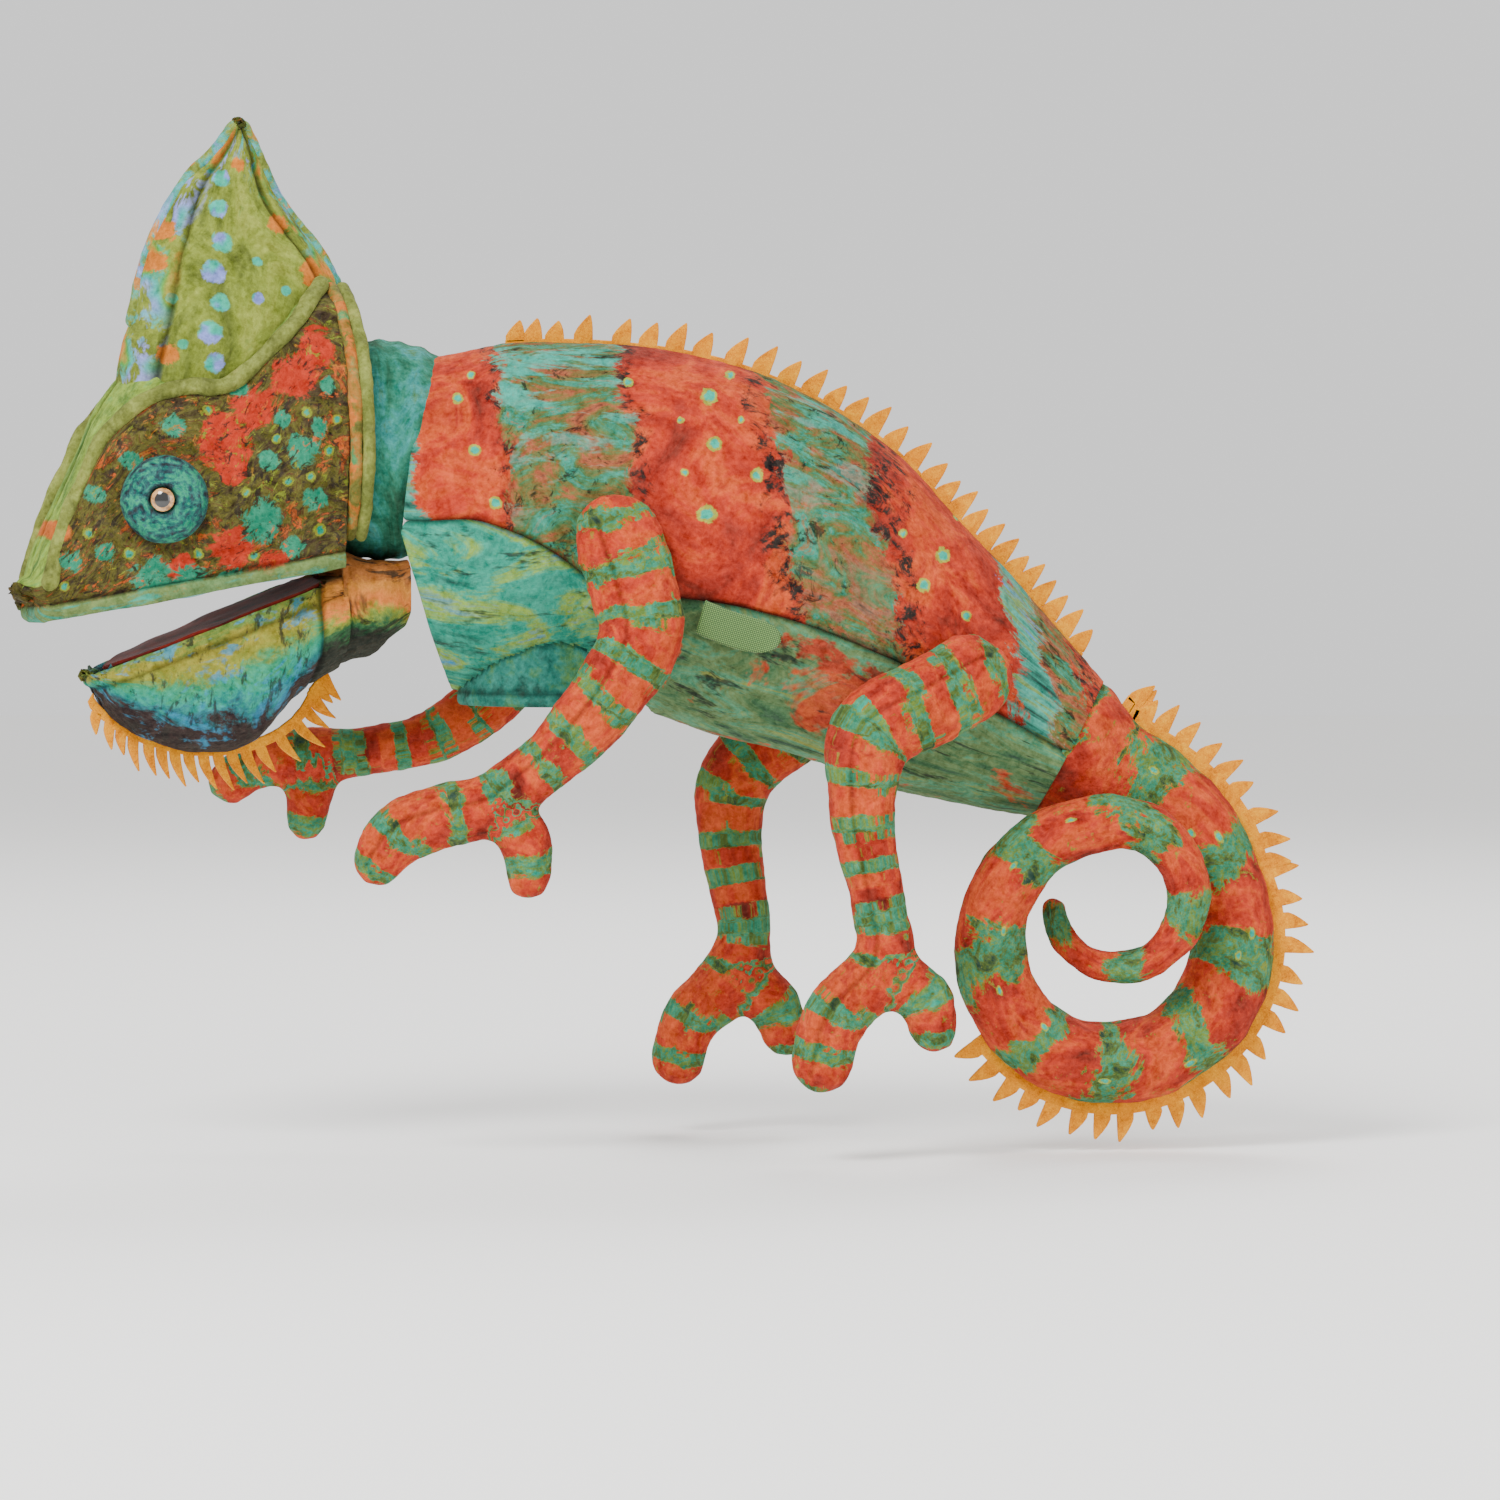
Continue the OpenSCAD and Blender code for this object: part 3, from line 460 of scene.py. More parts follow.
def mottle_print(t, v, size=6.0):
    """Brown, olive and teal mottling with black speckle."""
    ground = ramp(t, blotch(t, v, size, 6.0, 0.70, 1.2, (0.7, 1, 1)),
                  [(0.30, "#3c1c14"), (0.40, "#9a4c30"), (0.47, "#6a5a28"), (0.53, "#3c6a3c"),
                   (0.59, "#0a8670"), (0.66, "#8a5c30"), (0.74, "#a04628")])
    speck = ramp(t, blotch(t, v, size * 0.5, 4.0, 0.75, 0.8), [(0.37, 0.06), (0.44, 1.0)])
    return over(t, 0.9, ground, speck, "MULTIPLY")


def spotted(t, colour, v, core="#0fae94", ring="#9aa83a"):
    """Round spots with a ringed edge, wherever the cloth's spot value is low."""
    d = calc(t, "ADD", value_of(t, "spot"), rag(t, blotch(t, v, 2.4, 5.0, 0.7, 0.8), 1.5))
    c = over(t, ramp(t, d, [(0.84, 0.9), (1.0, 0.0)]), colour, ring)
    return over(t, ramp(t, d, [(0.50, 1.0), (0.64, 0.0)]), c, core)


def patched(t, colour, v, name, tint, torn=1.1, size=4.0):
    """Ragged patches of another colour round the marked places."""
    d = calc(t, "ADD", value_of(t, name), rag(t, blotch(t, v, size, 5.0, 0.75, 1.0), torn * 3))
    return over(t, ramp(t, d, [(0.80, 1.0), (1.0, 0.0)]), colour, tint)


back_bands = [(-46, "teal"), (-33, "red"), (-12, "black"), (-9, "mottle"), (24, "black"),
              (28, "red"), (57, "black"), (63, "mottle"), (88, "black"), (95, "red"),
              (117, "teal"), (125, "mottle"), (134, "black"), (139, "red"), (150, "red")]


def back_cloth():
    """Bands across the back: red-orange between mottled ones, with black edges."""
    m, t = finish("printed plush, back")
    v = flow_of(t)
    xyz = add(t, "SeparateXYZ", {0: add(t, "TexCoord").outputs["Object"]})
    x, z = xyz.outputs[0], xyz.outputs[2]
    ragged = rag(t, blotch(t, v, 9, 6.0, 0.78, 0.8), 26 * MM)
    slant = calc(t, "MULTIPLY", calc(t, "SUBTRACT", z, 0.045), 0.16)
    low, high = back_bands[0][0], back_bands[-1][0]
    f = calc(t, "DIVIDE", calc(t, "SUBTRACT", calc(t, "ADD", calc(t, "ADD", x, ragged), slant),
                               low * MM), (high - low) * MM, True)

    def where(kind):
        stops, last = [], None
        for p, k in back_bands:
            on, q = float(k == kind), (p - low) / (high - low)
            if last is not None and on != last:
                stops += [(q - 0.003, last), (q + 0.003, on)]
            last = on if last is None or on != last else last
        first = float(back_bands[0][1] == kind)
        return ramp(t, f, [(0.0, first)] + stops + [(1.0, last)])

    lined = ramp(t, blotch(t, v, 2.4, 3.0, 0.6, 0.2, (0.14, 1, 1)),
                 [(0.34, "#0a3a34"), (0.44, "#1c7f6c"), (0.53, "#3f9f8c"), (0.60, "#6f8a3c"),
                  (0.70, "#2f8fc0")])
    c = over(t, where("mottle"), red_print(t, v), mottle_print(t, v))
    c = over(t, where("teal"), c, lined)
    broken = ramp(t, blotch(t, v, 2.6, 4.0, 0.75, 0.5), [(0.42, 1.0), (0.54, 0.1)])
    c = over(t, calc(t, "MULTIPLY", where("black"), broken), c, "#120c10")
    streak = ramp(t, blotch(t, v, 5, 5.0, 0.75, 0.4, (0.35, 1, 1)), [(0.50, 0.0), (0.56, 0.85)])
    top = ramp(t, calc(t, "MULTIPLY", z, 10.0), [(0.45, 0.15), (0.85, 1.0)])
    wash = calc(t, "MULTIPLY", calc(t, "MULTIPLY", streak, top), where("mottle"))
    c = over(t, wash, c, "#2aa592")
    return pile(t, m, spotted(t, c, v))


def under_cloth(name, stops, warm_at):
    """Streaked greens under the body, with warm washes of the red print in random patches."""
    m, t = finish(name)
    v = flow_of(t)
    c = ramp(t, blotch(t, v, 6, 6.0, 0.70, 0.8, (0.35, 1, 1)), stops)
    warm = ramp(t, blotch(t, v, 15, 5.0, 0.7, 0.6), [(warm_at, 0.0), (warm_at + 0.05, 0.9)])
    c = over(t, warm, c, red_print(t, v))
    dark = ramp(t, blotch(t, v, 2.8, 4.0, 0.7, 0.4, (0.25, 1, 1)), [(0.36, 0.85), (0.43, 0.0)])
    return pile(t, m, over(t, dark, c, "#0c1c1e"))


torso_spots = [[-25.4, 79.6, 1.7], [-20.5, 66, 1.9], [-15, 52, 1.8], [41.6, 80.2, 2.4],
               [43, 67.5, 2.2], [41, 49.1, 2.8], [54.3, 59.4, 2.0], [103.7, 37.8, 2.2],
               [98.3, 30.2, 2.0], [20, 84, 1.4], [110, 22, 1.5], [35, 60, 1.2], [50, 74, 1.3],
               [47, 86, 1.4], [93, 44, 1.3], [108, 48, 1.2], [34, 74, 1.2], [-22, 86, 1.2]]
for ob in torso_panels:
    mark(ob, "spot", near(points(ob) / MM, torso_spots))
    walled(ob, 2.0)
    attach(ob, "torso")
torso_panels[0].data.materials.append(back_cloth())
torso_panels[1].data.materials.append(under_cloth(
    "printed plush, belly", [(0.32, "#163a34"), (0.42, "#3a6a44"), (0.50, "#5f7a4a"),
                             (0.57, "#3f8a68"), (0.66, "#7f8a40")], 0.57))
torso_panels[2].data.materials.append(under_cloth(
    "printed plush, chest", [(0.30, "#0a3a38"), (0.41, "#0f7a66"), (0.50, "#17957c"),
                             (0.58, "#7fa038"), (0.68, "#1f88b8")], 0.64))

# ---- Legs ----
# Each leg is a stuffed tube of the same plush with a split, mitten-like foot, sewn to the
# flank at its root. Its print has ragged cross stripes, and one seam runs down its front.


def flank(x, z):
    """Half width of the torso at x and z."""
    r = [np.interp(x, torso_rows[:, 0], torso_rows[:, k]) for k in range(5)]
    return r[3] * math.sqrt(max(0, 1 - ((z - r[2]) / r[4]) ** 2))


seam_gap = 0.35


def limb(root, side, shape):
    """Rows of a leg from [along, out from the flank, up, half width, half height]."""
    return smooth([[root[0] + p[0], side * (flank(*root) + seam_gap + p[1]), root[1] + p[2],
                    p[3], p[4]] for p in shape], 5)


def leg(name, body, root, side, shape, toe, shade):
    rows = round_off(limb(root, side, shape), True, True)
    rows[:, 3:5] -= 0.5
    toe_rows = round_off(limb(root, side, toe), False, True)
    toe_rows[:, 3:5] -= 0.5
    toe_rows[:, 3:5] = np.maximum(toe_rows[:, 3:5], 0.2)
    rows[:, 3:5] = np.maximum(rows[:, 3:5], 0.2)
    rings, flow = tube(rows, 40)
    toe_rings, toe_flow = tube(toe_rows, 32)
    toe_flow[:, :, 0] += flow[-1, 0, 0] - toe_flow[-1, 0, 0] + 5
    cloth = np.vstack([rings.reshape(-1, 3), toe_rings.reshape(-1, 3)])
    places = np.vstack([flow.reshape(-1, 3), toe_flow.reshape(-1, 3)])
    bm = loft(rings, flow)
    ob = piece(loft(toe_rings, toe_flow, bm=bm), name)
    mesh = ob.modifiers.new("joined", "REMESH")
    mesh.mode, mesh.voxel_size = "VOXEL", 2.4 * MM
    fixed(ob)
    root_near = np.linalg.norm(points(ob) / MM - rows[6, :3], axis=1) < 9
    filled(ob, root_near, 1.2)
    refined(ob, 2)
    tree = KDTree(len(cloth))
    for i, p in enumerate(cloth):
        tree.insert(p, i)
    tree.balance()
    co = points(ob) / MM
    at = np.zeros((len(co), 3))
    for i, p in enumerate(co):
        found = tree.find_n(p, 4)
        w = np.array([1 / (f[2] + 0.3) ** 2 for f in found])
        at[i] = (places[[f[1] for f in found]] * w[:, None]).sum(0) / w.sum()
    flow_layer = ob.data.attributes.get("flow") or ob.data.attributes.new(
        "flow", "FLOAT_VECTOR", "POINT")
    flow_layer.data.foreach_set("vector", (at * MM).astype(np.float32).ravel())
    front = rings[:, 22 if side < 0 else 38]
    seam = distance(co, smooth(front[4:-4], 4))
    no = points(ob, "normal")
    place(ob, (co - no * (0.55 * np.exp(-(seam / 1.0) ** 2))[:, None]) * MM)
    lumps(ob, 0.9, 11, shade)
    lumps(ob, 0.2, 2.4, shade + 5)
    mark(ob, "seam", np.minimum(seam + 0.5, 9))
    ob.data.materials.append(striped)
    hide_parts(body + "_skin")
    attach(ob, body)
    return ob


def striped_cloth(name, period, spots=False):
    """Ragged cross stripes: red-orange, and teal with lime edges, about a period apart in mm."""
    m, t = finish(name)
    v = flow_of(t)
    u = add(t, "SeparateXYZ", {0: v}).outputs[0]
    ragged = rag(t, blotch(t, v, period * 0.40, 6.0, 0.78, 0.6, (1, 0.55, 0.55)), 8.0)
    drift = calc(t, "MULTIPLY", blotch(t, v, period * 2.2, 2.0, 0.6, 0.6, (1, 0.7, 0.7)), 9.0)
    ragged = calc(t, "ADD", ragged, drift)
    wave = calc(t, "SINE", calc(t, "ADD", calc(t, "MULTIPLY", u, 2 * math.pi / (period * MM)),
                                ragged))
    f = calc(t, "ADD", calc(t, "MULTIPLY", wave, 0.5), 0.5)
    cool = ramp(t, blotch(t, v, 3.2, 5.0, 0.75, 0.5, (1, 0.5, 0.5)),
                [(0.34, "#08382e"), (0.44, "#4c6420"), (0.50, "#0a8468"), (0.57, "#647c22"),
                 (0.66, "#0a9478")])
    c = over(t, ramp(t, f, [(0.62, 0.0), (0.70, 1.0)]), red_print(t, v), "#7c7a1e")
    c = over(t, ramp(t, f, [(0.69, 0.0), (0.76, 1.0)]), c, cool)
    flecks = ramp(t, blotch(t, v, 2.0, 4.0, 0.75, 0.4, (1, 0.5, 0.5)), [(0.62, 0.0), (0.68, 0.8)])
    c = over(t, flecks, c, "#7c8424")
    return pile(t, m, spotted(t, c, v) if spots else c)


striped = striped_cloth("printed plush, legs", 13)
front_left_root = [along(0.120), torso_h * 0.450]
front_right_root = [along(0.025), torso_h * 0.360]
hind_left_root = [along(0.640), torso_h * 0.060]
hind_right_root = [along(0.456), torso_h * 0.030]
leg("front_leg_left_plush", "front_leg_left", front_left_root, -1,
    [[0, 6, 0, 6, 12.5], [4, 7, -12, 7, 12.6], [6, 9, -26, 9, 12], [-3, 10.5, -42, 9.6, 10.4],
     [-12, 9.5, -52.5, 9, 9.2], [-22, 8.5, -62, 8.4, 8.4], [-34, 8, -70.5, 8.6, 9],
     [-47, 8, -73.5, 8.6, 9.2], [-57, 8, -77.5, 8.4, 9], [-63, 8, -84.5, 7.4, 7.6]],
    [[-31, 8, -69, 7, 7.4], [-24.5, 8, -79, 7.4, 7.6], [-23, 8, -88.5, 6.6, 6.6]], 1)
leg("front_leg_right_plush", "front_leg_right", front_right_root, 1,
    [[0, 6, 0, 6, 11], [-5, 7, -17.5, 7.5, 11], [-16, 9.5, -33, 9, 9.6], [-32.5, 8.5, -46, 8, 8.2],
     [-51.5, 7, -51, 7.4, 7.4], [-67.5, 6.5, -52.5, 8, 8.6], [-82, 6.5, -54, 7.4, 7.8],
     [-91, 6.5, -59.5, 6.6, 6.8]],
    [[-66, 6.5, -53, 6.4, 6.8], [-69, 6.5, -62.5, 6.8, 7], [-70, 6.5, -70, 6.4, 6.4]], 2)
leg("hind_leg_left_plush", "hind_leg_left", hind_left_root, -1,
    [[0, 6.8, 0, 6, 13], [-14, 15.5, -7, 8, 12.6], [-27, 19.5, -14.5, 10, 11.6],
     [-29, 19, -33, 9.2, 9.6], [-26, 18, -52, 8, 8], [-23, 17, -68, 7.8, 8],
     [-25, 17, -77.5, 8.6, 9.4], [-36, 17, -89, 8.6, 9.2], [-39.5, 17, -101, 8.4, 8.8]],
    [[-24, 17, -76, 7.4, 8], [-13, 17, -84, 7.6, 8], [-10, 17, -92.5, 6.8, 7]], 3)
leg("hind_leg_right_plush", "hind_leg_right", hind_right_root, 1,
    [[0, 6.5, 0, 6, 13], [-16, 10.5, -14, 8.6, 12], [-29, 13, -26.5, 10, 10.8],
     [-31, 13, -44, 9, 9.5], [-27, 12, -68.5, 8, 8], [-30, 12, -81.5, 8.6, 9.4],
     [-42, 12, -94, 8.4, 8.6], [-45.5, 12, -104.5, 7.8, 8]],
    [[-29.5, 12, -80, 7.4, 8], [-19, 12, -90, 7.4, 7.8], [-16, 12, -98, 6.8, 7]], 4)

# ---- Tail ----
# One long tapered tube of plush, stuffed hard and set in a coil that stands out to the left.
# Its rounded root sits in the end of the torso, where it can lift.
coil_r, inner_coil_r, tail_r, tail_tip_r = 33, 20, 12, 3.8
coil_centre = [tail_pivot[0] + torso_len * 0.065, -torso_h * 0.695]
coil_start, outer_sweep, inner_sweep, coil_lean, outer_loss = 28, 298, 250, 23, 4
outer_end_r = tail_r - outer_loss


def outer_row(s):
    a = math.radians(coil_start - outer_sweep * s)
    r = tail_r - outer_loss * s * s
    return [coil_centre[0] + coil_r * math.cos(a), -coil_lean * s * s * (3 - 2 * s),
            coil_centre[1] + coil_r * math.sin(a), r, r]


def inner_row(s):
    a = math.radians(coil_start - outer_sweep - inner_sweep * s)
    r = outer_end_r - (outer_end_r - tail_tip_r) * s ** 0.8
    turn_r = inner_coil_r - 4 * s ** 6
    return [coil_centre[0] + turn_r * math.cos(a),
            -coil_lean * math.cos(math.radians(86 * s ** 1.5)),
            coil_centre[1] + coil_r - inner_coil_r + turn_r * math.sin(a), r, r]


root_rows = smooth([
    [tail_pivot[0], 0, tail_pivot[2], tail_root, tail_root],
    [tail_pivot[0] + torso_len * 0.055, 0, tail_pivot[2] - torso_h * 0.075, 16, 17.5],
    [tail_pivot[0] + torso_len * 0.143, 0, tail_pivot[2] - torso_h * 0.150, 12.8, 13.6],
    [tail_pivot[0] + torso_len * 0.204, 0, tail_pivot[2] - torso_h * 0.265, 12.2, 12.4],
    outer_row(0)], 4)
tail_rows = np.vstack([root_rows[:-1], [outer_row(k / 48) for k in range(48)],
                       [inner_row(k / 36) for k in range(37)]])
rows = round_off(tail_rows, True, True)
rows[:, 3:5] = np.maximum(rows[:, 3:5] - 0.3, 0.2)
rings, flow = tube(rows, 28)
tail = piece(loft(rings, flow), "tail_plush")
lane = np.array([d.value for d in tail.data.attributes["lane"].data])
row = np.arange(len(lane)) // 28
filled(tail, (np.isin(lane, (7, 21))) | (row < 8) | (row > len(rows) - 4), 0.9)
refined(tail, 2)
co = points(tail) / MM
seam = np.minimum(distance(co, smooth(rings[:, 7], 4)), distance(co, smooth(rings[:, 21], 4)))
no = points(tail, "normal")
place(tail, (co - no * (0.5 * np.exp(-(seam / 1.1) ** 2))[:, None]) * MM)
lumps(tail, 0.8, 9, 12.0)
lumps(tail, 0.2, 2.4, 14.0)
mark(tail, "seam", np.minimum(seam + 0.35, 9))
along_tail = points(tail, "flow") / MM
dots = [[u, r, 1.7] for u, r in ((44, 9), (61, -2), (66, 7), (98, 2), (92, 8), (150, 7), (188, 0),
                                 (205, -6), (222, 4), (128, 10), (172, -8), (240, 7))]
mark(tail, "spot", near(along_tail[:, [0, 1, 2]], dots))
tail.data.materials.append(striped_cloth("printed plush, tail", 27, True))
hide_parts("tail_skin")
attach(tail, "tail")

# ---- Felt crests ----
# Spikes cut from amber wool felt, in strips sewn down along the back, the tail and the chin.
# The edges are soft and a little frayed, and the spikes lean back.


def felt():
    """Wool felt: matted fibres, and a fuzzy surface with no gloss."""
    m, t = finish("wool felt")
    at = add(t, "TexCoord").outputs["Object"]
    fibres = calc(t, "ADD", calc(t, "MULTIPLY", blotch(t, at, 0.5, 4.0, 0.8, 2.0), 0.6),
                  calc(t, "MULTIPLY", blotch(t, at, 2.5, 3.0, 0.6, 1.0), 0.4))
    c = ramp(t, fibres, [(0.32, "#8a4a04"), (0.44, "#c67408"), (0.56, "#de9210"),
                         (0.70, "#eeb030")])
    bump = add(t, "Bump", {"Height": fibres, "Strength": 0.5, "Distance": 0.4 * MM})
    p = add(t, "BsdfPrincipled", {"Base Color": c, "Roughness": 0.95, "Normal": bump.outputs[0],
                                  "Specular IOR Level": 0.1, "Sheen Weight": 0.12,
                                  "Sheen Roughness": 0.5, "Sheen Tint": linear("#ffe0a0")})
    add(t, "OutputMaterial", {"Surface": p.outputs[0]})
    return m


wool_felt = felt()
felt_t = 1.4


def crest(name, node, body, rows, teeth, band, tip, up=1, lean=0.28, place_on=None, sizes=None):
    """A felt strip along rows: a band on the cloth, and spikes that rise from it."""
    rows = np.array(rows, float)
    step = np.linalg.norm(np.diff(rows[:, :3], axis=0), axis=1)
    reach = np.concatenate([[0], np.cumsum(step)])
    even = np.linspace(0, reach[-1], 10 * teeth + 1)
    rows = np.column_stack([np.interp(even, reach, rows[:, k]) for k in range(5)])
    c, way = rows[:, :3], unit(np.gradient(rows[:, :3], axis=0))
    side = unit(np.array([0, 1.0, 0]) - way * way[:, 1:2])
    rise = np.cross(way, side) * up
    foot = c + rise * (rows[:, 4:5] - 1.6)
    pitch = reach[-1] / teeth
    on_head = place_on or (lambda p: p)
    rings = [on_head(np.array([foot[i] - side[i] * felt_t / 2, foot[i] + side[i] * felt_t / 2,
                               foot[i] + side[i] * felt_t / 2 + rise[i] * (band + 1.6),
                               foot[i] - side[i] * felt_t / 2 + rise[i] * (band + 1.6)]))
             for i in range(0, len(rows), 2)]
    bm = loft(rings, np.zeros((len(rings), 4, 3)))
    half = [[-0.50, -0.8], [-0.49, 0.2], [-0.44, 0.30], [-0.37, 0.45], [-0.24, 0.66],
            [-0.12, 0.84], [-0.03, 0.97], [0.03, 0.98], [0.16, 0.86], [0.30, 0.68],
            [0.42, 0.46], [0.47, 0.28], [0.49, 0.2], [0.50, -0.8]]
    for k in range(teeth):
        i = min(10 * k + 5, len(rows) - 1)
        size = 1.0 if sizes is None else sizes(k / (teeth - 1))
        size *= 1 + 0.10 * math.sin(k * 2.4) + 0.05 * math.sin(k * 5.1)
        tilt = side[i] * 0.35 * math.sin(k * 1.7)
        corners = []
        for a, h in half:
            tall = max(h, 0) * (tip * size - band)
            p = (foot[i] + rise[i] * (1.6 + band + (tall if h > 0 else h))
                 + way[i] * (a * pitch * 0.96 + lean * tall * max(h, 0)) + tilt * max(h, 0) * 2)
            corners.append(on_head(p[None])[0])
        flat = on_head(np.array([c[i], c[i] + side[i] * felt_t]))
        across = Vector(flat[1] - flat[0]) * MM
        vs = [bm.verts.new(Vector(p) * MM - across / 2) for p in corners]
        face = bm.faces.new(vs)
        more = bmesh.ops.extrude_face_region(bm, geom=[face])["geom"]
        bmesh.ops.translate(bm, vec=across,
                            verts=[g for g in more if isinstance(g, bmesh.types.BMVert)])
    bmesh.ops.recalc_face_normals(bm, faces=bm.faces)
    rim = [e for e in bm.edges if len(e.link_faces) == 2 and e.calc_face_angle(0) > 1.0]
    bmesh.ops.bevel(bm, geom=rim, offset=0.28 * MM, offset_type="OFFSET", affect="EDGES",
                    segments=2, profile=0.5, material=-1)
    ob = piece(bm, name)
    ob.data.polygons.foreach_set("use_smooth", [False] * len(ob.data.polygons))
    ob.data.materials.append(wool_felt)
    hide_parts(node)
    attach(ob, body)
    return ob


crest("back_crest_felt", "back_crest", "torso", torso_rows[7:-4], 29, 0.8, 7.6,
      sizes=lambda f: 0.80 + 0.25 * min(1, 4 * f))
crest("tail_crest_felt", "tail_crest", "tail", tail_rows[2:45], 32, 2.4, 9.2)

# ---- Head ----
# Two face halves of printed plush, joined down the middle and stuffed over the finger pocket.
# The lime forehead lies between the brows, and the upper lip is folded under and stitched.
head_len, head_w, casque_h = 97, 62, 86
head_yaw = math.radians(18)
hinge_x, hinge_z = -14, -31
mouth_slope, jaw_slope = math.radians(10.4), math.radians(21.5)


def on_head(p):
    """From the head's own millimetres, round the neck, to the puppet's."""
    p = np.asarray(p, float)
    x = p[..., 0] * math.cos(head_yaw) - p[..., 1] * math.sin(head_yaw)
    y = p[..., 0] * math.sin(head_yaw) + p[..., 1] * math.cos(head_yaw)
    return np.stack([x, y, p[..., 2]], -1) + neck


def cut(ob, at, out):
    """Cuts the cloth along a plane, in the head's own millimetres, and drops what lies beyond."""
    bm = bmesh.new()
    bm.from_mesh(ob.data)
    bmesh.ops.bisect_plane(bm, geom=bm.verts[:] + bm.edges[:] + bm.faces[:],
                           plane_co=Vector(at) * MM, plane_no=out, clear_outer=True)
    bm.to_mesh(ob.data)
    bm.free()


def copied(ob, name):
    twin = bpy.data.objects.new(name, ob.data.copy())
    bpy.context.scene.collection.objects.link(twin)
    return twin


def lip_width(rows, x, z, y, way):
    """The section widens towards the lip to hold the board: way 1 above the middle, -1 below."""
    zc, hw, hh = (np.interp(x, rows[:, 0], rows[:, k]) for k in (2, 3, 4))
    s = np.clip(way * (z - zc) / hh, 0, 1)
    return np.sign(y) * hw * np.clip(np.abs(y) / hw, 1e-4, 1) ** (1 - 0.90 * s ** 1.2)


def under_lip(co):
    """Height in mm above the lip line, which falls towards the snout."""
    return ((co[:, 2] - hinge_z) * math.cos(mouth_slope)
            - (co[:, 0] - hinge_x) * math.sin(mouth_slope))


face_stations = [[-1.00, -33, -40, 0.10], [-0.975, -26, -45, 0.19], [-0.92, -14, -47, 0.25],
                 [-0.85, 1, -47, 0.30], [-0.80, 11, -47, 0.33], [-0.71, 22, -45, 0.37],
                 [-0.60, 26, -43, 0.41], [-0.49, 26, -41, 0.44], [-0.40, 33.5, -39.5, 0.465],
                 [-0.31, 43, -38, 0.485], [-0.23, 46, -36.5, 0.50], [-0.17, 45, -35.5, 0.50]]
face_rows = smooth([[s[0] * head_len, 0, (s[1] + s[2]) / 2, s[3] * head_w, (s[1] - s[2]) / 2]
                    for s in face_stations], 3)
brow_run = np.array([[-0.965, 0], [-0.92, 40], [-0.85, 50], [-0.80, 50], [-0.71, 45], [-0.60, 45],
                     [-0.49, 45], [-0.40, 45], [-0.31, 46], [-0.25, 56], [-0.20, 68]])
sides = 72
rings, flow = tube(round_off(face_rows, True, False, 4), sides, upright=True)
face = piece(loft(rings, flow, (True, False)), "face_whole")
lane = np.array([d.value for d in face.data.attributes["lane"].data])
row = np.arange(len(lane)) // sides
filled(face, (np.isin(lane, (18, 54))) | (row < 3) | (row > len(rings) - 3), 1.2)
refined(face, 2)
co = points(face) / MM
co[:, 1] = lip_width(face_rows, co[:, 0], co[:, 2], co[:, 1], -1)
place(face, co * MM)
cut(face, (hinge_x, 0, hinge_z + 0.4), (math.sin(mouth_slope), 0, -math.cos(mouth_slope)))
co, no = points(face) / MM, points(face, "normal")
x = co[:, 0]
zc, hw, hh = (np.interp(x, face_rows[:, 0], face_rows[:, k]) for k in (2, 3, 4))
angle = np.degrees(np.arctan2((co[:, 2] - zc) / hh, np.abs(co[:, 1]) / hw))
brow_angle = np.interp(x / head_len, brow_run[:, 0], brow_run[:, 1])
eye = np.array([-0.666 * head_len, 0, -13])
to_eye = np.hypot(co[:, 0] - eye[0], co[:, 2] - eye[2])
lip = under_lip(co)
push = (1.2 * np.exp(-((to_eye - 16.5) / 3.2) ** 2) - 0.8 * np.exp(-((to_eye - 12.4) / 1.6) ** 2)
        - 0.7 * np.exp(-((lip - 4.6) / 0.8) ** 2) + 0.7 * np.exp(-((lip - 2.2) / 1.6) ** 2)
        - 0.9 * np.exp(-(co[:, 1] / 1.0) ** 2) * (angle > 20)
        + 1.3 * np.exp(-((angle - brow_angle + 14) / 8) ** 2) * (angle < brow_angle)
        + 0.9 * np.exp(-(((co[:, 0] + 42) / 16) ** 2 + ((co[:, 2] + 14) / 12) ** 2)))
place(face, (co + no * push[:, None]) * MM)
lumps(face, 1.0, 15, 21.0)
lumps(face, 0.25, 2.8, 23.0)
tip = 9.0 * (co[:, 0] < -0.965 * head_len)
mark(face, "seam", np.minimum(np.minimum(np.abs(lip - 4.6) * 1.3 + 0.3,
                                         np.abs(co[:, 1]) + 9 * (angle < 20)) + tip, 9))
mark(face, "brow", np.clip((angle - brow_angle) / 6, -1, 1))
mark(face, "lip", np.clip(lip / 10, 0, 1))
mark(face, "ring", to_eye)
red_at = [[-49.5, 2.9, 7], [-41, 11, 6], [-31, 19, 6], [-24, 27, 5], [-47, -25.5, 6], [-48, -5, 4],
          [-36, -30, 4], [-60, -31, 4]]
teal_at = [[-29.6, 0.2, 4.5], [-39.5, -18.7, 6], [-68, -33.6, 5.5], [-58, -36.3, 6],
           [-88, -29.5, 3], [-62, 5.6, 3], [-48, -36.3, 5], [-25.3, 6, 2.6], [-25.3, -13.3, 3.4],
           [-31, -25, 3.5], [-38, -3, 2.8], [-80, -27, 2.6], [-22, 17, 2.5], [-34, 8, 2.2],
           [-44, 16, 2.4], [-73, -3, 2.6], [-82, -12, 2.4]]
dots_at = [[-33, -8, 1.7], [-27, -7, 1.5], [-36, 3, 1.6], [-28, 10, 1.7], [-22, 0, 1.6],
           [-44, -11, 1.6], [-24, -21, 1.8], [-34, -32, 1.7], [-56, -27, 1.6], [-74, -27, 1.8],
           [-41, -28, 1.6], [-20, 8, 1.4], [-53, 10, 1.5], [-84, -22, 1.6], [-90, -36, 1.4]]
mark(face, "red", near(co, red_at))
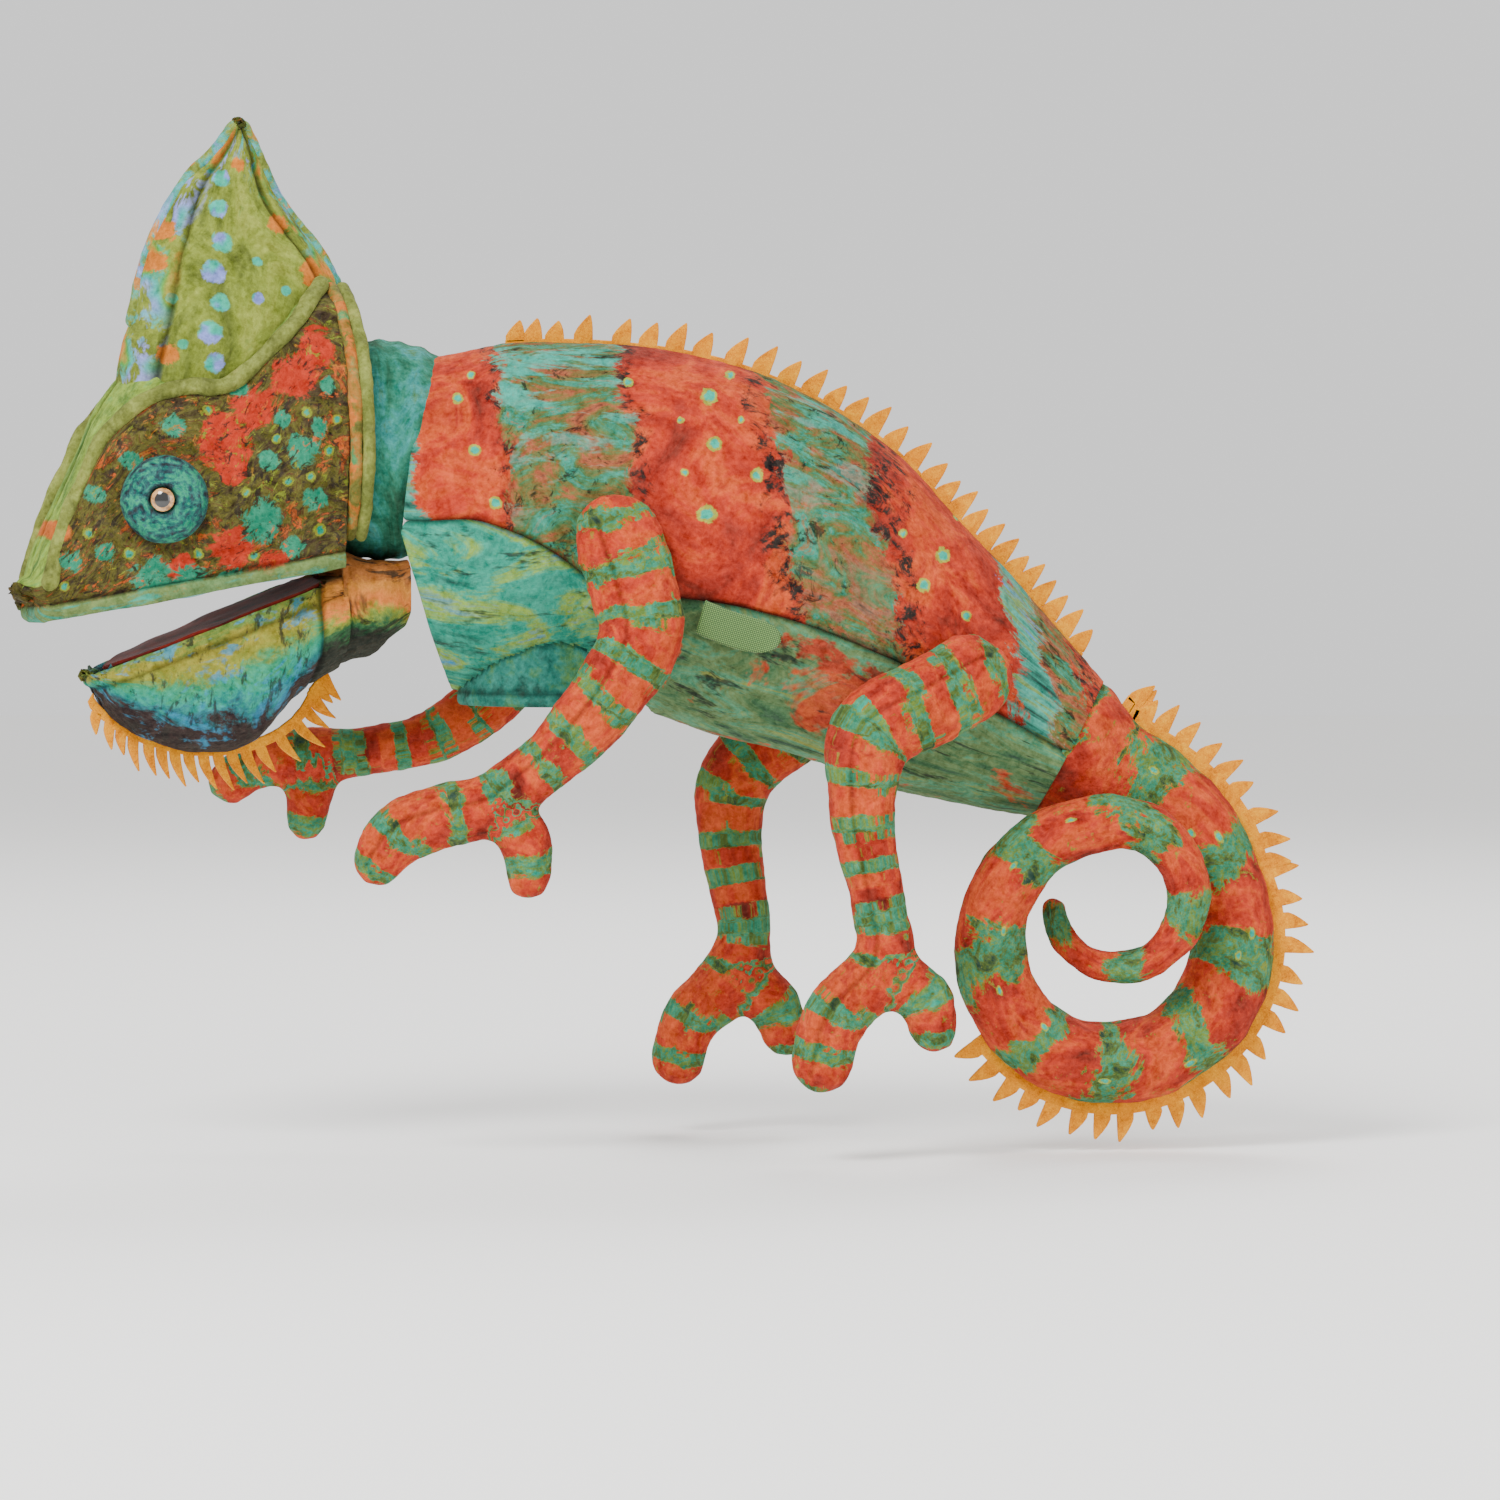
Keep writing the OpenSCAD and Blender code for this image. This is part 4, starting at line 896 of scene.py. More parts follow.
mark(face, "teal", near(co, teal_at))
mark(face, "spot", near(co, dots_at))
mark(face, "nostril", near(co, [[-90.5, -21.5, 3.2]]))


def face_cloth():
    """Dark olive and brown mottling with orange flecks, ringed teal spots and red streaks."""
    m, t = finish("printed plush, face")
    v = flow_of(t)
    ground = ramp(t, blotch(t, v, 5, 6.0, 0.74, 1.4),
                  [(0.30, "#100a06"), (0.39, "#2c1c0c"), (0.46, "#3c3810"), (0.52, "#565416"),
                   (0.58, "#42260f"), (0.64, "#a0440f"), (0.74, "#66741e")])
    c = patched(t, ground, v, "red", "#b02408", 0.9, 3.5)
    c = patched(t, c, v, "teal", "#068262", 0.9, 3.0)
    flecks = ramp(t, blotch(t, v, 2.0, 4.0, 0.75, 0.8), [(0.58, 0.0), (0.64, 0.85)])
    c = over(t, flecks, c, ramp(t, blotch(t, v, 9, 2.0), [(0.44, "#76861c"), (0.54, "#c2500e")]))
    c = spotted(t, c, v, "#069074", "#7c8a1e")
    dark = ramp(t, blotch(t, v, 1.8, 4.0, 0.75, 0.6), [(0.38, 0.9), (0.45, 0.0)])
    c = over(t, dark, c, "#150f0c")
    lip = over(t, ramp(t, blotch(t, v, 3, 5.0, 0.7, 0.4, (0.4, 1, 1)), [(0.50, 0.2), (0.60, 1.0)]),
               "#6f7a2c", "#1c9a80")
    c = over(t, ramp(t, value_of(t, "lip"), [(0.36, 0.85), (0.46, 0.0)]), c, lip)
    lime = ramp(t, blotch(t, v, 6, 5.0, 0.7, 0.6),
                [(0.34, "#3f6a2c"), (0.46, "#6a8a34"), (0.56, "#8aa63c"), (0.68, "#5a9a50")])
    c = over(t, ramp(t, value_of(t, "brow"), [(0.0, 0.0), (0.12, 1.0)]), c, lime)
    c = patched(t, c, v, "nostril", "#b85a18", 0.2, 2.0)
    return pile(t, m, c)


face_print = face_cloth()
for name, node, side in (("face_left_plush", "face_left", -1),
                         ("face_right_plush", "face_right", 1)):
    ob = copied(face, name)
    cut(ob, (0, 0, 0), (0, -side, 0))
    place(ob, on_head(points(ob) / MM) * MM)
    walled(ob, 1.9)
    ob.data.materials.append(face_print)
    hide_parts(node)
    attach(ob, "head")
bpy.data.objects.remove(face)

# ---- Casque ----
# The tall crest of the head: two leaf-shaped halves of olive plush round a flat fibre fill,
# with a narrow edge panel sewn along the front and the rear.
casque_stations = [[0.10, -76, -19, 18], [0.28, -73, -17, 19], [0.40, -70, -14, 18.5],
                   [0.52, -67.5, -13, 15], [0.62, -65, -18, 11.5], [0.74, -60, -27, 8.5],
                   [0.85, -53, -32.5, 5.4], [0.95, -44.5, -36.5, 3.6], [1.00, -41.5, -38.5, 2]]
casque_rows = smooth([[s[0] * casque_h, s[1] / 100 * head_len, s[2] / 100 * head_len, s[3]]
                      for s in casque_stations], 4)
sides = 56
a = np.linspace(0, 2 * np.pi, sides, endpoint=False)
top = casque_rows[-1]
tip_rows = [[top[0] + 1.6 * math.sin(b), top[1] + 1.4 * (1 - math.cos(b)),
             top[2] - 1.4 * (1 - math.cos(b)), top[3] * math.cos(b)] for b in (0.5, 1.0, 1.45)]
casque_rows = np.vstack([casque_rows, tip_rows])
rings, flow = [], []
for z, front, rear, hw in casque_rows:
    mid, reach = (front + rear) / 2, (rear - front) / 2
    swell = np.abs(np.sin(a)) ** 0.85 * np.sign(np.sin(a))
    rings.append(np.column_stack([mid + reach * np.cos(a), hw * swell, 0 * a + z]))
    flow.append(np.column_stack([0 * a + z, 22 * np.cos(a), 16 * np.sin(a)]))
casque = piece(loft(np.array(rings), np.array(flow), (False, True)), "casque_whole")
lane = np.array([d.value for d in casque.data.attributes["lane"].data])
row = np.arange(len(lane)) // sides
filled(casque, np.isin(lane, (0, 5, 23, 28, 33, 51)) | (row < 2) | (row > len(rings) - 6), 0.9, 3.0)
refined(casque, 2)
co, no = points(casque) / MM, points(casque, "normal")
front, rear = (np.interp(co[:, 2], casque_rows[:-3, 0], casque_rows[:-3, k]) for k in (1, 2))
in_front, behind = co[:, 0] - front, rear - co[:, 0]
wide = np.clip((rear - front) * 0.17, 1.2, 7)
seam = np.minimum(np.abs(in_front - wide), np.abs(behind - wide))
push = 0.5 - 1.0 * np.exp(-(seam / 0.9) ** 2)
place(casque, (co + no * push[:, None]) * MM)
lumps(casque, 0.9, 12, 31.0)
lumps(casque, 0.25, 3.0, 33.0)
mark(casque, "seam", np.minimum(seam + 0.1, 9))
mark(casque, "edge", np.clip(np.minimum(in_front, behind) / 14, 0, 1))
mark(casque, "teal", near(co, [[-45, 72, 2.6], [-46.5, 64, 2.6], [-46, 55, 3.0], [-49, 47, 3.2],
                               [-48, 39, 2.6], [-51, 31, 3.4], [-50, 23, 2.8], [-38, 40, 1.8],
                               [-37, 50, 1.6], [-30, 42, 1.6], [-60, 40, 1.5], [-58, 28, 1.6]]))
mark(casque, "orange", near(co, [[-60, 58, 3], [-63, 50, 3], [-62, 25, 3], [-30, 60, 3],
                                 [-22, 47, 3.5], [-40, 76, 2]]))


def casque_cloth():
    """Olive plush with a broken column of teal and lavender, and patches near the edges."""
    m, t = finish("printed plush, casque")
    v = flow_of(t)
    c = ramp(t, blotch(t, v, 7, 6.0, 0.72, 0.8, (0.7, 1, 1)),
             [(0.32, "#3f4a14"), (0.43, "#5f6e20"), (0.53, "#7a8a2c"), (0.63, "#8f9a3c"),
              (0.74, "#4f7a30")])
    tint = ramp(t, blotch(t, v, 4, 2.0), [(0.42, "#7a8ad0"), (0.50, "#1fae98"), (0.60, "#28a880")])
    c = patched(t, c, v, "teal", tint, 0.45, 2.6)
    edge = calc(t, "MULTIPLY", ramp(t, value_of(t, "edge"), [(0.25, 1.0), (0.60, 0.0)]),
                ramp(t, blotch(t, v, 5, 4.0, 0.7, 0.5), [(0.48, 0.0), (0.54, 0.9)]))
    c = over(t, edge, c, ramp(t, blotch(t, v, 10, 2.0), [(0.42, "#8a96d8"), (0.49, "#20a8a0"),
                                                        (0.54, "#3f9a3c"), (0.60, "#d87a20")]))
    c = patched(t, c, v, "orange", "#c8701c", 0.8, 3.0)
    return pile(t, m, c)


casque_print = casque_cloth()
for name, node, side in (("casque_left_plush", "casque_left", -1),
                         ("casque_right_plush", "casque_right", 1)):
    ob = copied(casque, name)
    cut(ob, (0, 0, 0), (0, -side, 0))
    place(ob, on_head(points(ob) / MM) * MM)
    walled(ob, 1.8)
    ob.data.materials.append(casque_print)
    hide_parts(node)
    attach(ob, "head")
bpy.data.objects.remove(casque)

# ---- Piping ----
# Rolls of plush round a cord of fibre: the edge of the casque, a brow on each side, and a
# double fold down each cheek. They are slipped into the seams.


def piping_cloth(name, stops, patches):
    m, t = finish(name)
    v = flow_of(t)
    c = ramp(t, blotch(t, v, 5, 5.0, 0.7, 0.6), stops)
    for tint, low in patches:
        mask = ramp(t, blotch(t, v, 4, 4.0, 0.72, 0.5), [(low, 0.0), (low + 0.05, 0.9)])
        c = over(t, mask, c, tint)
    return pile(t, m, c)


olive_piping = piping_cloth("plush piping, olive", [(0.32, "#4a5220"), (0.46, "#6a7430"),
                                                    (0.58, "#7f8a3c"), (0.70, "#94984a")], [])
mottled_piping = piping_cloth("plush piping, mottled", [(0.32, "#3c3a18"), (0.46, "#6a6a28"),
                                                        (0.56, "#a86a24"), (0.68, "#3f8a50")],
                              [("#c86a20", 0.56)])
edge_piping = piping_cloth("plush piping, casque edge", [(0.34, "#5a6a24"), (0.46, "#7a8a34"),
                                                         (0.54, "#2fa090"), (0.66, "#8a98d0")],
                           [("#c87a28", 0.57)])


def roll(name, rows, print_of, node, seed, sides=14):
    rings, flow = tube(round_off(rows, True, True, 3), sides)
    ob = piece(loft(rings, flow), name)
    refined(ob, 1)
    lumps(ob, 0.5, 7, seed)
    lumps(ob, 0.2, 2.4, seed + 3)
    mark(ob, "seam", np.full(len(ob.data.vertices), 9))
    place(ob, on_head(points(ob) / MM) * MM)
    ob.data.materials.append(print_of)
    if node:
        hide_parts(node)
    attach(ob, "head")
    return ob


piping_r = 2.3
front_edge = [[s[1] / 100 * head_len, 0, s[0] * casque_h, 2.0, 2.0]
              for s in casque_stations if s[0] > 0.3]
rear_edge = [[s[2] / 100 * head_len, 0, s[0] * casque_h, 2.0, 2.0]
             for s in casque_stations[::-1] if s[0] > 0.45]
roll("casque_edge_roll", smooth(front_edge + rear_edge, 8), edge_piping, "casque_edge_band", 41)
for side, name in ((-1, "left"), (1, "right")):
    brow = []
    for share, turn in brow_run:
        r = [np.interp(share * head_len, face_rows[:, 0], face_rows[:, k]) for k in range(5)]
        turn = math.radians(turn)
        brow.append([r[0], side * (r[3] + 1.2) * math.cos(turn),
                     r[2] + (r[4] + 1.2) * math.sin(turn), piping_r, piping_r])
    roll("brow_roll_" + name, smooth(brow, 8), olive_piping, "brow_piping_" + name, 43)
    rim = face_rows[-1]
    for part, dx, size, cloth in (("front", 1.2, 1.75, mottled_piping),
                                  ("rear", 4.4, 1.9, olive_piping)):
        fold = [[rim[0] + dx + 1.6 * math.sin(math.radians(90 * (70 - b) / 112)) - 0.8,
                 side * math.cos(math.radians(b)) * (rim[3] + 0.4),
                 rim[2] + math.sin(math.radians(b)) * (rim[4] + 0.4), size, size]
                for b in range(70, -43, -8)]
        roll("cheek_roll_" + name + "_" + part, smooth(fold, 4), cloth, "cheek_piping_" + name, 47)

# ---- Mouth linings ----
# Flat-woven cotton over thin boards: pale teal against the roof of the mouth, maroon below.


wave_at_1 = 100 * math.pi  # the wave texture's scale for one rib a millimetre


def lining_cloth(name, stops):
    """Brushed cotton: a fine twill that shows as faint diagonal ribs, drawn at 0.9 mm to show."""
    m, t = finish(name)
    at = add(t, "TexCoord").outputs["Object"]
    turned = add(t, "Mapping", {"Vector": at, "Rotation": (0, 0, math.radians(40))}).outputs[0]
    ribs = add(t, "TexWave", {"Vector": turned, "Scale": wave_at_1 / 0.9, "Distortion": 1.2,
                              "Detail": 2.0}).outputs["Fac"]
    c = ramp(t, blotch(t, at, 4, 4.0, 0.65), stops)
    bump = add(t, "Bump", {"Height": ribs, "Strength": 0.25, "Distance": 0.3 * MM})
    p = add(t, "BsdfPrincipled", {"Base Color": c, "Roughness": 0.85, "Normal": bump.outputs[0],
                                  "Specular IOR Level": 0.2, "Sheen Weight": 0.1,
                                  "Sheen Roughness": 0.5})
    add(t, "OutputMaterial", {"Surface": p.outputs[0]})
    return m


def mouth_lining(name, node, body, rows, slope, drop, long, thick, hollow, stops, inset):
    """A lining that follows the outline of the mouth, a little hollow in the middle."""
    bm = bmesh.new()
    bmesh.ops.create_grid(bm, x_segments=60, y_segments=32, size=1.0)
    for v in bm.verts:
        s = (1 - v.co.x) / 2
        share = math.sin(s * math.pi / 2)
        x = hinge_x - 3 - (long - 3) * share
        z = hinge_z + (x - hinge_x) * math.tan(slope) + drop
        r = [np.interp(x, rows[:, 0], rows[:, k]) for k in range(5)]
        half = r[3] * math.sqrt(max(0.0, 1 - ((z - r[2]) / r[4]) ** 2))
        half = float(lip_width(rows, x, z, half, 1 if z > r[2] else -1)) - inset
        half = max(half, 0.5) * min(1.0, math.sqrt(max(0.02, 1 - share ** 10)))
        bow = hollow * (1 - v.co.y ** 2) * (1 - s ** 6) * min(1, 6 * s)
        v.co = Vector(on_head([x, half * v.co.y, z + bow])) * MM
    bmesh.ops.recalc_face_normals(bm, faces=bm.faces)
    ob = piece(bm, name)
    lumps(ob, 0.7, 9, 51.0)
    wall = ob.modifiers.new("cloth", "SOLIDIFY")
    wall.thickness, wall.offset = thick * MM, 0
    fixed(ob)
    ob.data.materials.append(lining_cloth(name.replace("_", " "), stops))
    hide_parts(node)
    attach(ob, body)
    return ob


mouth_lining("palate_lining_cloth", "palate_lining", "head", face_rows, mouth_slope, 0.6,
             head_len * 0.80, 0.9, 0.3,
             [(0.34, "#3f7a78"), (0.50, "#6fa8a4"), (0.66, "#8fc0bc")], 2.2)

# ---- Lower jaw ----
# Two halves of printed plush joined under the chin, stuffed over the thumb pocket. The mouth
# floor is maroon cotton on a board, and the chin carries a felt fringe.
jaw_stations = [[-0.80, -57, -66, 0.13], [-0.77, -54, -71, 0.20], [-0.66, -50, -77.5, 0.27],
                [-0.52, -45, -81, 0.32], [-0.38, -40, -78.5, 0.35], [-0.28, -37, -68, 0.36],
                [-0.19, -35, -61, 0.36], [-0.145, -34, -58.5, 0.36]]
jaw_rows = smooth([[s[0] * head_len, 0, (s[1] + s[2]) / 2, s[3] * head_w, (s[1] - s[2]) / 2]
                   for s in jaw_stations], 5)
jaw_drop = 1.6
sides = 64
rings, flow = tube(round_off(jaw_rows, True, False, 4), sides, upright=True)
jaw = piece(loft(rings, flow, (True, False)), "jaw_whole")
lane = np.array([d.value for d in jaw.data.attributes["lane"].data])
row = np.arange(len(lane)) // sides
filled(jaw, np.isin(lane, (16, 48)) | (row < 3) | (row > len(rings) - 3), 1.2)
refined(jaw, 2)
co = points(jaw) / MM
co[:, 1] = lip_width(jaw_rows, co[:, 0], co[:, 2], co[:, 1], 1)
place(jaw, co * MM)
cut(jaw, (hinge_x, 0, hinge_z - jaw_drop - 0.6), (-math.sin(jaw_slope), 0, math.cos(jaw_slope)))
co, no = points(jaw) / MM, points(jaw, "normal")
brim = ((hinge_z - jaw_drop - co[:, 2]) * math.cos(jaw_slope)
        + (co[:, 0] - hinge_x) * math.sin(jaw_slope))
bottom = np.interp(co[:, 0], jaw_rows[:, 0], jaw_rows[:, 2] - jaw_rows[:, 4])
level = np.clip((co[:, 2] - bottom) / (brim + co[:, 2] - bottom), 0, 1)
joint = np.abs(co[:, 0] + 21.5)
push = (-0.8 * np.exp(-(joint / 1.0) ** 2) - 0.9 * np.exp(-(co[:, 1] / 1.0) ** 2)
        + 0.7 * np.exp(-((brim - 2.4) / 1.6) ** 2) - 0.5 * np.exp(-((brim - 4.8) / 0.8) ** 2))
place(jaw, (co + no * push[:, None]) * MM)
lumps(jaw, 1.0, 13, 61.0)
lumps(jaw, 0.25, 2.8, 63.0)
mark(jaw, "seam", np.minimum(np.minimum(joint, np.abs(co[:, 1])), np.abs(brim - 4.8) + 0.45))
mark(jaw, "level", level)
mark(jaw, "rear", np.clip((co[:, 0] + 21.5) / 8, -1, 1))


def jaw_cloth():
    """Olive near the lip with faint dark strokes, teal lower down, and black-brown underneath."""
    m, t = finish("printed plush, jaw")
    v = flow_of(t)
    height = calc(t, "ADD", value_of(t, "level"),
                  rag(t, blotch(t, v, 6, 6.0, 0.76, 0.8), 0.9))
    c = ramp(t, height, [(0.10, "#1c1016"), (0.24, "#2a1a20"), (0.34, "#0f6a74"), (0.46, "#0f947c"),
                         (0.58, "#1f8a5c"), (0.68, "#7a8228"), (0.84, "#8c8428"),
                         (0.96, "#5a7a30")])
    blue = ramp(t, blotch(t, v, 6, 4.0, 0.7, 0.4), [(0.55, 0.0), (0.61, 0.7)])
    c = over(t, blue, c, "#1f84a8")
    strokes = ramp(t, blotch(t, v, 1.8, 4.0, 0.7, 0.3, (1, 0.3, 0.3)), [(0.39, 0.8), (0.46, 0.0)])
    c = over(t, strokes, c, "#16181a")
    back = ramp(t, height, [(0.30, "#10201c"), (0.42, "#1f5a34"), (0.55, "#7a8a2c"),
                            (0.66, "#d0702c"), (0.86, "#c8802c"), (0.97, "#9a5a24")])
    lines = ramp(t, blotch(t, v, 2.2, 4.0, 0.7, 0.5, (0.3, 1, 1)), [(0.39, 0.85), (0.45, 0.0)])
    back = over(t, lines, back, "#141a14")
    c = over(t, ramp(t, value_of(t, "rear"), [(0.0, 0.0), (0.06, 1.0)]), c, back)
    return pile(t, m, c)


jaw_print = jaw_cloth()
for name, node, side in (("jaw_left_plush", "jaw_left", -1), ("jaw_right_plush", "jaw_right", 1)):
    ob = copied(jaw, name)
    cut(ob, (0, 0, 0), (0, -side, 0))
    place(ob, on_head(points(ob) / MM) * MM)
    walled(ob, 1.9)
    ob.data.materials.append(jaw_print)
    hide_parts(node)
    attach(ob, "jaw")
bpy.data.objects.remove(jaw)
mouth_lining("jaw_lining_cloth", "jaw_lining", "jaw", jaw_rows, jaw_slope, -2.2,
             head_len * 0.64, 0.9, -0.5,
             [(0.34, "#45100a"), (0.50, "#70190f"), (0.66, "#8a2416")], 2.2)
crest("chin_crest_felt", "chin_crest", "jaw", jaw_rows[1:-6], 20, 1.2, 9.0, up=-1, place_on=on_head,
      sizes=lambda f: 0.72 + 0.45 * math.sin(math.pi * min(1, f * 1.05)) ** 0.8)

# ---- Throat ----
# A short tube of the chest's plush that closes the throat behind the jaw and folds as it opens.
throat_rows = smooth([[-15.5, 0, -47, 20.5, 11.2], [-5, 0, -44.5, 21.3, 11.2],
                      [3, 0, -40.5, 21, 9]], 8)
over_ball_r, throat_side = 31.6, 22
rings, flow = tube(throat_rows, 56, upright=True)
throat = piece(loft(rings, flow, (False, False)), "throat_plush")
co = points(throat) / MM
mid = np.array([0, 0, 1.0]) * np.interp(co[:, 0], throat_rows[:, 0], throat_rows[:, 2])[:, None]
out = unit(co * [0, 1, 1] - mid)
fold = 0.25 * np.cos((co[:, 0] + 4) * 2 * np.pi / 9.5) + 0.1
co += out * fold[:, None]
zc, hh = (np.interp(co[:, 0], throat_rows[:, 0], throat_rows[:, k]) for k in (2, 4))
under_ball = -np.sqrt(over_ball_r ** 2 - co[:, 0] ** 2
                      - np.minimum(np.abs(co[:, 1]), throat_side) ** 2)
share = np.clip((co[:, 2] - zc) / hh, 0, 1)
co[:, 2] = np.where(share > 0, zc + (under_ball - zc) * share ** 0.45, co[:, 2])
place(throat, co * MM)
refined(throat, 2)
lumps(throat, 0.9, 9, 71.0)
lumps(throat, 0.22, 2.6, 73.0)
co = points(throat) / MM
mark(throat, "seam", np.full(len(co), 9))
mark(throat, "level", np.clip((co[:, 2] + 57) / 24, 0, 1))
mark(throat, "rear", np.full(len(co), 1))
place(throat, on_head(co) * MM)
walled(throat, 1.6)
throat.data.materials.append(jaw_print)
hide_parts("throat_gusset")
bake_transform(throat, "head", "jaw", start=on_head([2, 0, -42]) * MM, end=on_head([-14, 0, -42]) * MM)

# ---- Neck collar ----
# A stuffed ring of teal plush between torso and head, with a way through it for the fingers.
# The head turns and nods on its rounded outside.
ball_r, neck_bore_r = 30, 19.2
turn = np.radians(np.linspace(-50, 50, 26))
outside = [[ball_r * math.sin(b), 0, 0, ball_r * math.cos(b), ball_r * math.cos(b)] for b in turn]
inside = [[x, 0, 0, neck_bore_r, neck_bore_r] for x in np.linspace(22.4, -22.4, 16)]
rings, flow = tube(np.array(outside + inside), 72, upright=True)
flow[:, :, 0] = rings[:, :, 0]
bm = loft(rings, flow, (False, False))
bmesh.ops.bridge_loops(bm, edges=[e for e in bm.edges if e.is_boundary])
bmesh.ops.recalc_face_normals(bm, faces=bm.faces)
collar = piece(bm, "neck_collar_plush")
place(collar, points(collar) + neck * MM)
refined(collar, 1)
co, no = points(collar) / MM, points(collar, "normal")
r = np.linalg.norm(co - neck, axis=1)
keep = r > ball_r - 2
push = np.where(keep, -0.35 + 0.25 * np.cos((co[:, 0] - neck[0]) * 1.1), 0)
place(collar, (co + no * push[:, None]) * MM)
lumps(collar, 0.5, 12, 81.0, keep)
lumps(collar, 0.2, 2.6, 83.0, keep)
mark(collar, "seam", np.minimum(np.abs(co[:, 0] - neck[0] - 17.5), 9))
mark(collar, "strip", np.clip((co[:, 0] - neck[0] - 17.5) / 3, -1, 1))
m, t = finish("printed plush, collar")
v = flow_of(t)
c = ramp(t, blotch(t, v, 6, 5.0, 0.7, 0.6, (1, 0.4, 0.4)),
         [(0.32, "#063c2a"), (0.43, "#0a6048"), (0.51, "#127a64"), (0.58, "#2c8c88"),
          (0.68, "#46701f")])
c = over(t, ramp(t, value_of(t, "strip"), [(0.0, 0.0), (0.1, 1.0)]), c, "#5f7a34")
collar.data.materials.append(pile(t, m, c))
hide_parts("neck_collar")
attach(collar, "neck")

# ---- Eyes ----
# A domed turret of short teal plush on each side, and in its middle a glossy black glass eye
# with a tan ring, on a shank that a lock washer holds from inside.
turret_r, turret_h, eye_r = 11.6, 6, 3.3
eye_at, eye_out, eye_turn = [-0.666, -13], 0.355, math.radians(18)


def on_eye(p, side):
    """From millimetres round the eye's own axis, z outwards, to the puppet's."""
    p = np.asarray(p, float)
    x, y, z = p[..., 0], p[..., 2] * side, p[..., 1]
    turn = side * eye_turn
    return on_head(np.stack([x * math.cos(turn) - y * math.sin(turn) + eye_at[0] * head_len,
                             x * math.sin(turn) + y * math.cos(turn) + side * eye_out * head_w,
                             z + eye_at[1]], -1))


def turned(profile, sides):
    """Rings round the z axis from [radius, height]."""
    a = np.linspace(0, 2 * np.pi, sides, endpoint=False)
    return np.array([np.column_stack([r * np.cos(a), r * np.sin(a), 0 * a + h])
                     for r, h in profile])


def turret_cloth():
    """Teal and green plush, finely speckled in faint rings round the eye, with painted shade round the eye's
    seat and faintly at the foot of the dome.
    """
    m, t = finish("turret plush")
    at = add(t, "TexCoord").outputs["Object"]
    reach = value_of(t, "reach")
    rings_of = calc(t, "SINE", calc(t, "ADD", calc(t, "MULTIPLY", reach, 3.6),
                                    calc(t, "MULTIPLY", blotch(t, at, 3, 3.0), 5.0)))
    speckle = blotch(t, at, 1.8, 5.0, 0.75, 0.8)
    c = ramp(t, calc(t, "ADD", calc(t, "MULTIPLY", rings_of, 0.04), speckle),
             [(0.34, "#0c1c24"), (0.44, "#12404a"), (0.52, "#0c6a60"), (0.60, "#12946a"),
              (0.72, "#2a5a6a")])
    # Painted shade: darker round the seat of the eye and faintly at the foot of the dome, where the parts
    # meet.
    dark = ramp(t, calc(t, "MULTIPLY", reach, 0.1),
                [(0.30, 0.6), (0.48, 0.0), (0.98, 0.0), (1.0, 0.1)])
    return pile(t, m, over(t, dark, c, "#0a1418"), 0.55, 0.4, 0.6)


def eye_finish():
    """Painted glass under a clear dome: black pupil, tan ring with a fine dark edge."""
    m, t = finish("eye glass")
    reach = calc(t, "DIVIDE", value_of(t, "reach"), eye_r)
    at = add(t, "TexCoord").outputs["Object"]
    tan = ramp(t, blotch(t, at, 0.8, 3.0), [(0.35, "#8a5a24"), (0.6, "#d8a468")])
    c = over(t, ramp(t, reach, [(0.60, 0.0), (0.64, 1.0)]), "#050505", tan)
    c = over(t, ramp(t, reach, [(0.92, 0.0), (0.96, 1.0)]), c, "#1a120a")
    p = add(t, "BsdfPrincipled", {"Base Color": c, "Roughness": 0.12, "IOR": 1.52,
                                  "Coat Weight": 1.0, "Coat Roughness": 0.02})
    add(t, "OutputMaterial", {"Surface": p.outputs[0]})
    return m


turret_plush, eye_glass = turret_cloth(), eye_finish()
for side, name in ((-1, "left"), (1, "right")):
    bore = 1.9
    dome = [[bore, 0.4], [turret_r, 0.4]] + [
        [eye_r + 0.5 + (turret_r - eye_r - 0.5) * math.cos(math.radians(b)) ** 0.9,
         1 + turret_h * math.sin(math.radians(b)) ** 1.1]
        for b in np.linspace(4, 88, 26)] + [
        [eye_r + 0.34, turret_h + 0.4], [eye_r + 0.34, turret_h - 0.2], [bore, turret_h - 0.3]]
    rings = turned(dome, 64)
    bm = loft(rings, np.zeros((len(rings), 64, 3)), (False, False))
    bmesh.ops.bridge_loops(bm, edges=[e for e in bm.edges if e.is_boundary])
    bmesh.ops.recalc_face_normals(bm, faces=bm.faces)
    turret = piece(bm, "eye_turret_" + name + "_plush")
    co = points(turret) / MM
    mark(turret, "reach", np.hypot(co[:, 0], co[:, 1]))
    mark(turret, "seam", np.full(len(co), 9))
    outer = (np.hypot(co[:, 0], co[:, 1]) > eye_r + 0.6) & (co[:, 2] > 1)
    lumps(turret, 0.3, 4, 91.0, outer)
    place(turret, on_eye(points(turret) / MM, side) * MM)
    if side > 0:
        turret.data.flip_normals()
    turret.data.materials.append(turret_plush)
    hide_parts("eye_turret_" + name)
    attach(turret, "head")
    button = [[0.05, -7.5], [1.5, -7.5], [1.5, turret_h], [eye_r, turret_h + 0.02],
              [eye_r, turret_h + 0.35]] + [
        [eye_r * math.cos(math.radians(b)),
         turret_h + 0.4 + eye_r * 0.6 * math.sin(math.radians(b))]
        for b in range(4, 90, 4)]
    rings = turned(button, 48)
    glass = piece(loft(rings, np.zeros((len(rings), 48, 3))), "eye_" + name + "_glass")
    co = points(glass) / MM
    mark(glass, "reach", np.hypot(co[:, 0], co[:, 1]))
    place(glass, on_eye(co, side) * MM)
    if side > 0:
        glass.data.flip_normals()
    glass.data.materials.append(eye_glass)
    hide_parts("eye_" + name)
    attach(glass, "eye_" + name + "_button")

